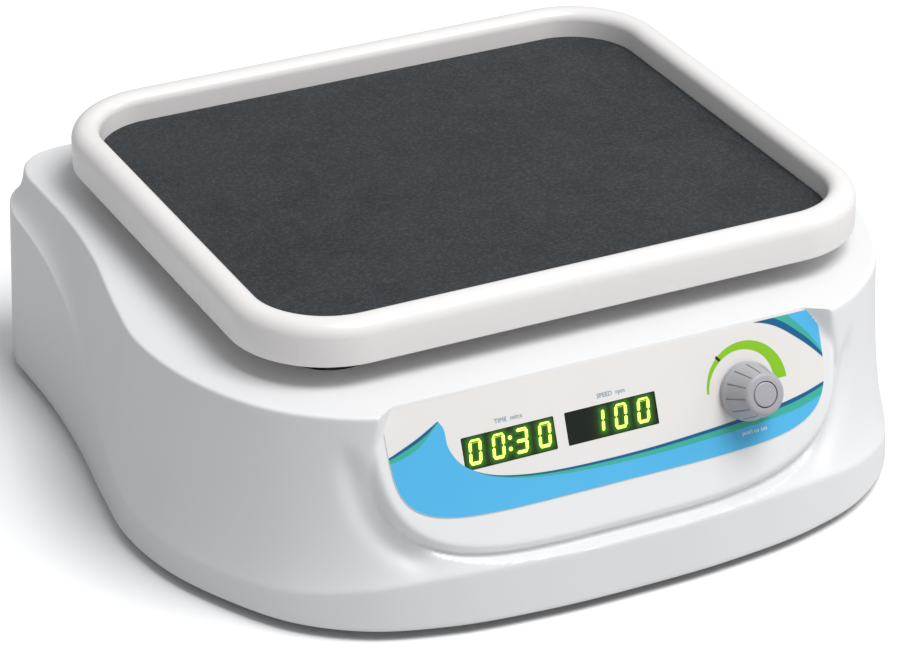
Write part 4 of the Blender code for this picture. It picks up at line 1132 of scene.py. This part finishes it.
# Feet: rubber pads with a shallow ring pressed into the underside.
foot = {"base": 10.4, "top": 11.0, "round": 0.7, "ring": 3.0, "deep": 0.5}
for number in (1, 2, 3, 4):
    low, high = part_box(f"foot_{number}")
    clearSelection()
    bpy.ops.mesh.primitive_cone_add(
        vertices=56, radius1=foot["base"] * mm, radius2=foot["top"] * mm, depth=high.z - low.z,
        location=((low + high) / 2),
    )
    pad = bpy.context.object
    pad.name = f"foot_pad_{number}"
    middle = (high.z - low.z) / 2
    bpy.ops.object.mode_set(mode="EDIT")
    selectWhere("FACE", lambda c, n: n.z < -0.9)
    bpy.ops.mesh.inset(thickness=foot["ring"] * mm)
    bpy.ops.mesh.extrude_region_move(TRANSFORM_OT_translate={"value": (0, 0, foot["deep"] * mm)})
    bpy.ops.mesh.inset(thickness=0.0004)
    selectWhere("EDGE", lambda a, b: abs(a.z + middle) < 1e-6 and abs(b.z + middle) < 1e-6)
    bpy.ops.mesh.bevel(offset=foot["round"] * mm, segments=3, affect="EDGES")
    bpy.ops.object.mode_set(mode="OBJECT")
    settle(pad, finishes["foot"], 40.0)
    rideOn(pad, "base", "foot_rubber", f"foot_{number}")
print("feet done")

# Rear fittings: the switch's frame, its rocker and the power socket.
rear = {
    "flange": (15.0, 21.0, 1.5),
    "well": (9.6, 15.6, 8.0),
    "rocker": (9.1, 4.6, 15.0),
    "dip": 1.1,
    "tilt": -12.0,
    "socketRadius": 7.2,
    "bore": 3.1,
    "pin": 1.0,
}
wallOut = rearY + 0.0003
clearSelection()
bpy.ops.mesh.primitive_cube_add(size=1, location=(0, rear["flange"][2] / 2 * mm, 0))
frameRim = bpy.context.object
frameRim.name = "switch_bezel"
editAll(frameRim)
bpy.ops.transform.resize(value=(rear["flange"][0] * mm, rear["flange"][2] * mm, rear["flange"][1] * mm))
selectWhere("FACE", lambda c, n: n.y < -0.9)
bpy.ops.mesh.inset(thickness=0.0015)
bpy.ops.mesh.extrude_region_move(TRANSFORM_OT_translate={"value": (0, -0.0150, 0)})
selectWhere("FACE", lambda c, n: n.y > 0.9)
bpy.ops.mesh.inset(thickness=(rear["flange"][0] - rear["well"][0]) / 2 * mm)
bpy.ops.mesh.extrude_region_move(TRANSFORM_OT_translate={"value": (0, -rear["well"][2] * mm, 0)})
bpy.ops.mesh.select_all(action="SELECT")
bpy.ops.mesh.bevel(offset=0.0005, segments=3, affect="EDGES")
bpy.ops.object.mode_set(mode="OBJECT")
frameRim.location = (switchSpot.x, wallOut, switchSpot.z)
outward(frameRim)
settle(frameRim, finishes["black"], 35.0)
rideOn(frameRim, "base", "black_plastic", "switch_body")

clearSelection()
pivot = Vector(joints["power_rocker"]["pos_m"])
bpy.ops.mesh.primitive_cube_add(size=1, location=pivot)
key = bpy.context.object
key.name = "rocker_key"
editAll(key)
bpy.ops.transform.resize(value=[size * mm for size in rear["rocker"]])
bpy.ops.mesh.select_all(action="SELECT")
bpy.ops.mesh.bisect(plane_co=pivot, plane_no=(0, 0, 1))
selectWhere("VERT", lambda co: abs(co.z) < 1e-5 and co.y > 0)
bpy.ops.transform.translate(value=(0, -rear["dip"] * mm, 0))
bpy.ops.mesh.select_all(action="SELECT")
bpy.ops.mesh.bevel(offset=0.0005, segments=3, affect="EDGES")
bpy.ops.mesh.select_all(action="SELECT")
bpy.ops.transform.rotate(value=math.radians(-rear["tilt"]), orient_axis="X", center_override=pivot)
bpy.ops.object.mode_set(mode="OBJECT")
outward(key)
settle(key, finishes["black"], 35.0)
rideOn(key, "rocker", "black_plastic", "rocker_button")

clearSelection()
bpy.ops.mesh.primitive_cylinder_add(
    vertices=56, radius=rear["socketRadius"] * mm, depth=0.0016, location=(0, 0.0008, 0), rotation=(math.pi / 2, 0, 0)
)
socket = bpy.context.object
socket.name = "jack_socket"
bpy.ops.object.transform_apply(location=True, rotation=True)
bpy.ops.object.mode_set(mode="EDIT")
selectWhere("FACE", lambda c, n: n.y < -0.9)
bpy.ops.mesh.inset(thickness=(rear["socketRadius"] - 5.4) * mm)
bpy.ops.mesh.extrude_region_move(TRANSFORM_OT_translate={"value": (0, -0.0115, 0)})
selectWhere("FACE", lambda c, n: n.y > 0.9)
bpy.ops.mesh.inset(thickness=(rear["socketRadius"] - rear["bore"]) * mm)
bpy.ops.mesh.extrude_region_move(TRANSFORM_OT_translate={"value": (0, -0.0095, 0)})
bpy.ops.mesh.inset(thickness=(rear["bore"] - rear["pin"]) * mm)
bpy.ops.mesh.extrude_region_move(TRANSFORM_OT_translate={"value": (0, 0.0082, 0)})
selectWhere("EDGE", lambda a, b: a.y > 0.0015 and b.y > 0.0015 and abs(a.y - b.y) < 1e-6)
bpy.ops.mesh.bevel(offset=0.0004, segments=3, affect="EDGES")
bpy.ops.object.mode_set(mode="OBJECT")
socket.location = (jackSpot.x, wallOut, jackSpot.z)
outward(socket)
settle(socket, finishes["black"], 35.0)
rideOn(socket, "base", "black_plastic", "power_jack")
print("rear fittings done")

# the plain nodes that stay get their finishes
nodeFinishes = {
    "belt": ("drive_belt",),
    "black": ("encoder_body", "encoder_plunger", "drive_motor"),
    "board": ("display_board", "control_board"),
    "plate": ("base_pan", "chassis_plate", "carriage_plate"),
    "bright": (
        *[f"pan_screw_{n}" for n in (1, 2, 3, 4)], *[f"tray_screw_{n}" for n in (1, 2, 3, 4)],
        *[f"standoff_{n}" for n in (1, 2, 3, 4)], *[f"idler_bearing_{n}" for n in (1, 2, 3)],
        *[f"idler_crank_{n}" for n in (1, 2, 3)], "encoder_shaft", "lower_bearing", "upper_bearing", "main_shaft",
        "crank_pin", "motor_pulley", "hub_bearing",
    ),
    "cast": ("bearing_housing", "drive_pulley", "eccentric_weight"),
    "bronze": ("idler_bush_1", "idler_bush_2", "idler_bush_3"),
}
for key, names in nodeFinishes.items():
    for name in names:
        nodes[name].data.materials.clear()
        nodes[name].data.materials.append(finishes[key])


# Stage: a pale floor, soft lights and the camera.
stage = {
    "floorSize": 8.0,
    "cameraAt": (-0.5805, -1.1601, 0.7352),
    "cameraTurn": (61.88, 0.0, -26.40),
    "lens": 152.64,
    "world": (0.96, 0.98, 1.0),
    "worldStrength": 0.41,
}
clearSelection()
bpy.ops.mesh.primitive_plane_add(size=stage["floorSize"], location=(0, 0, 0))
floor = bpy.context.object
floor.name = "floor"
paper = bpy.data.materials.new("floorPaper")
paper.use_nodes = True
paperShader = paper.node_tree.nodes["Principled BSDF"]
paperSight = addNode(paper.node_tree, "LightPath")
paperTone = addNode(paper.node_tree, "Mix", {"data_type": "RGBA"})
paperTone.inputs[6].default_value = (0.6, 0.6, 0.6, 1)
paperTone.inputs[7].default_value = (1.0, 1.0, 1.0, 1)
link(paper.node_tree, paperSight.outputs["Is Camera Ray"], paperTone.inputs["Factor"])
link(paper.node_tree, paperTone.outputs[2], paperShader.inputs["Base Color"])
paperShader.inputs["Roughness"].default_value = 0.9
floor.data.materials.append(paper)

world = bpy.data.worlds.new("softRoom")
scene.world = world
world.use_nodes = True
world.node_tree.nodes["Background"].inputs["Color"].default_value = (*stage["world"], 1)
world.node_tree.nodes["Background"].inputs["Strength"].default_value = stage["worldStrength"]

lamps = (
    # name, place, aim, size, power
    ("overhead", (0.45, -0.75, 2.0), (0.0, 0.0, 0.05), 1.1, 40.0),
    ("keyRight", (1.7, -0.7, 1.2), (0.0, -0.02, 0.05), 0.9, 7.0),
)
for name, at, aim, size, power in lamps:
    direction = Vector(aim) - Vector(at)
    bpy.ops.object.light_add(type="AREA", location=at, rotation=direction.to_track_quat("-Z", "Y").to_euler())
    lamp = bpy.context.object
    lamp.name = name
    lamp.data.shape = "SQUARE"
    lamp.data.size = size
    lamp.data.energy = power

bpy.ops.object.camera_add(
    location=stage["cameraAt"], rotation=[math.radians(value) for value in stage["cameraTurn"]]
)
camera = bpy.context.object
camera.data.lens = stage["lens"]
camera.data.sensor_width = 36.0
camera.data.clip_start = 0.05
scene.camera = camera
scene.view_settings.view_transform = "Standard"
print("stage ready")
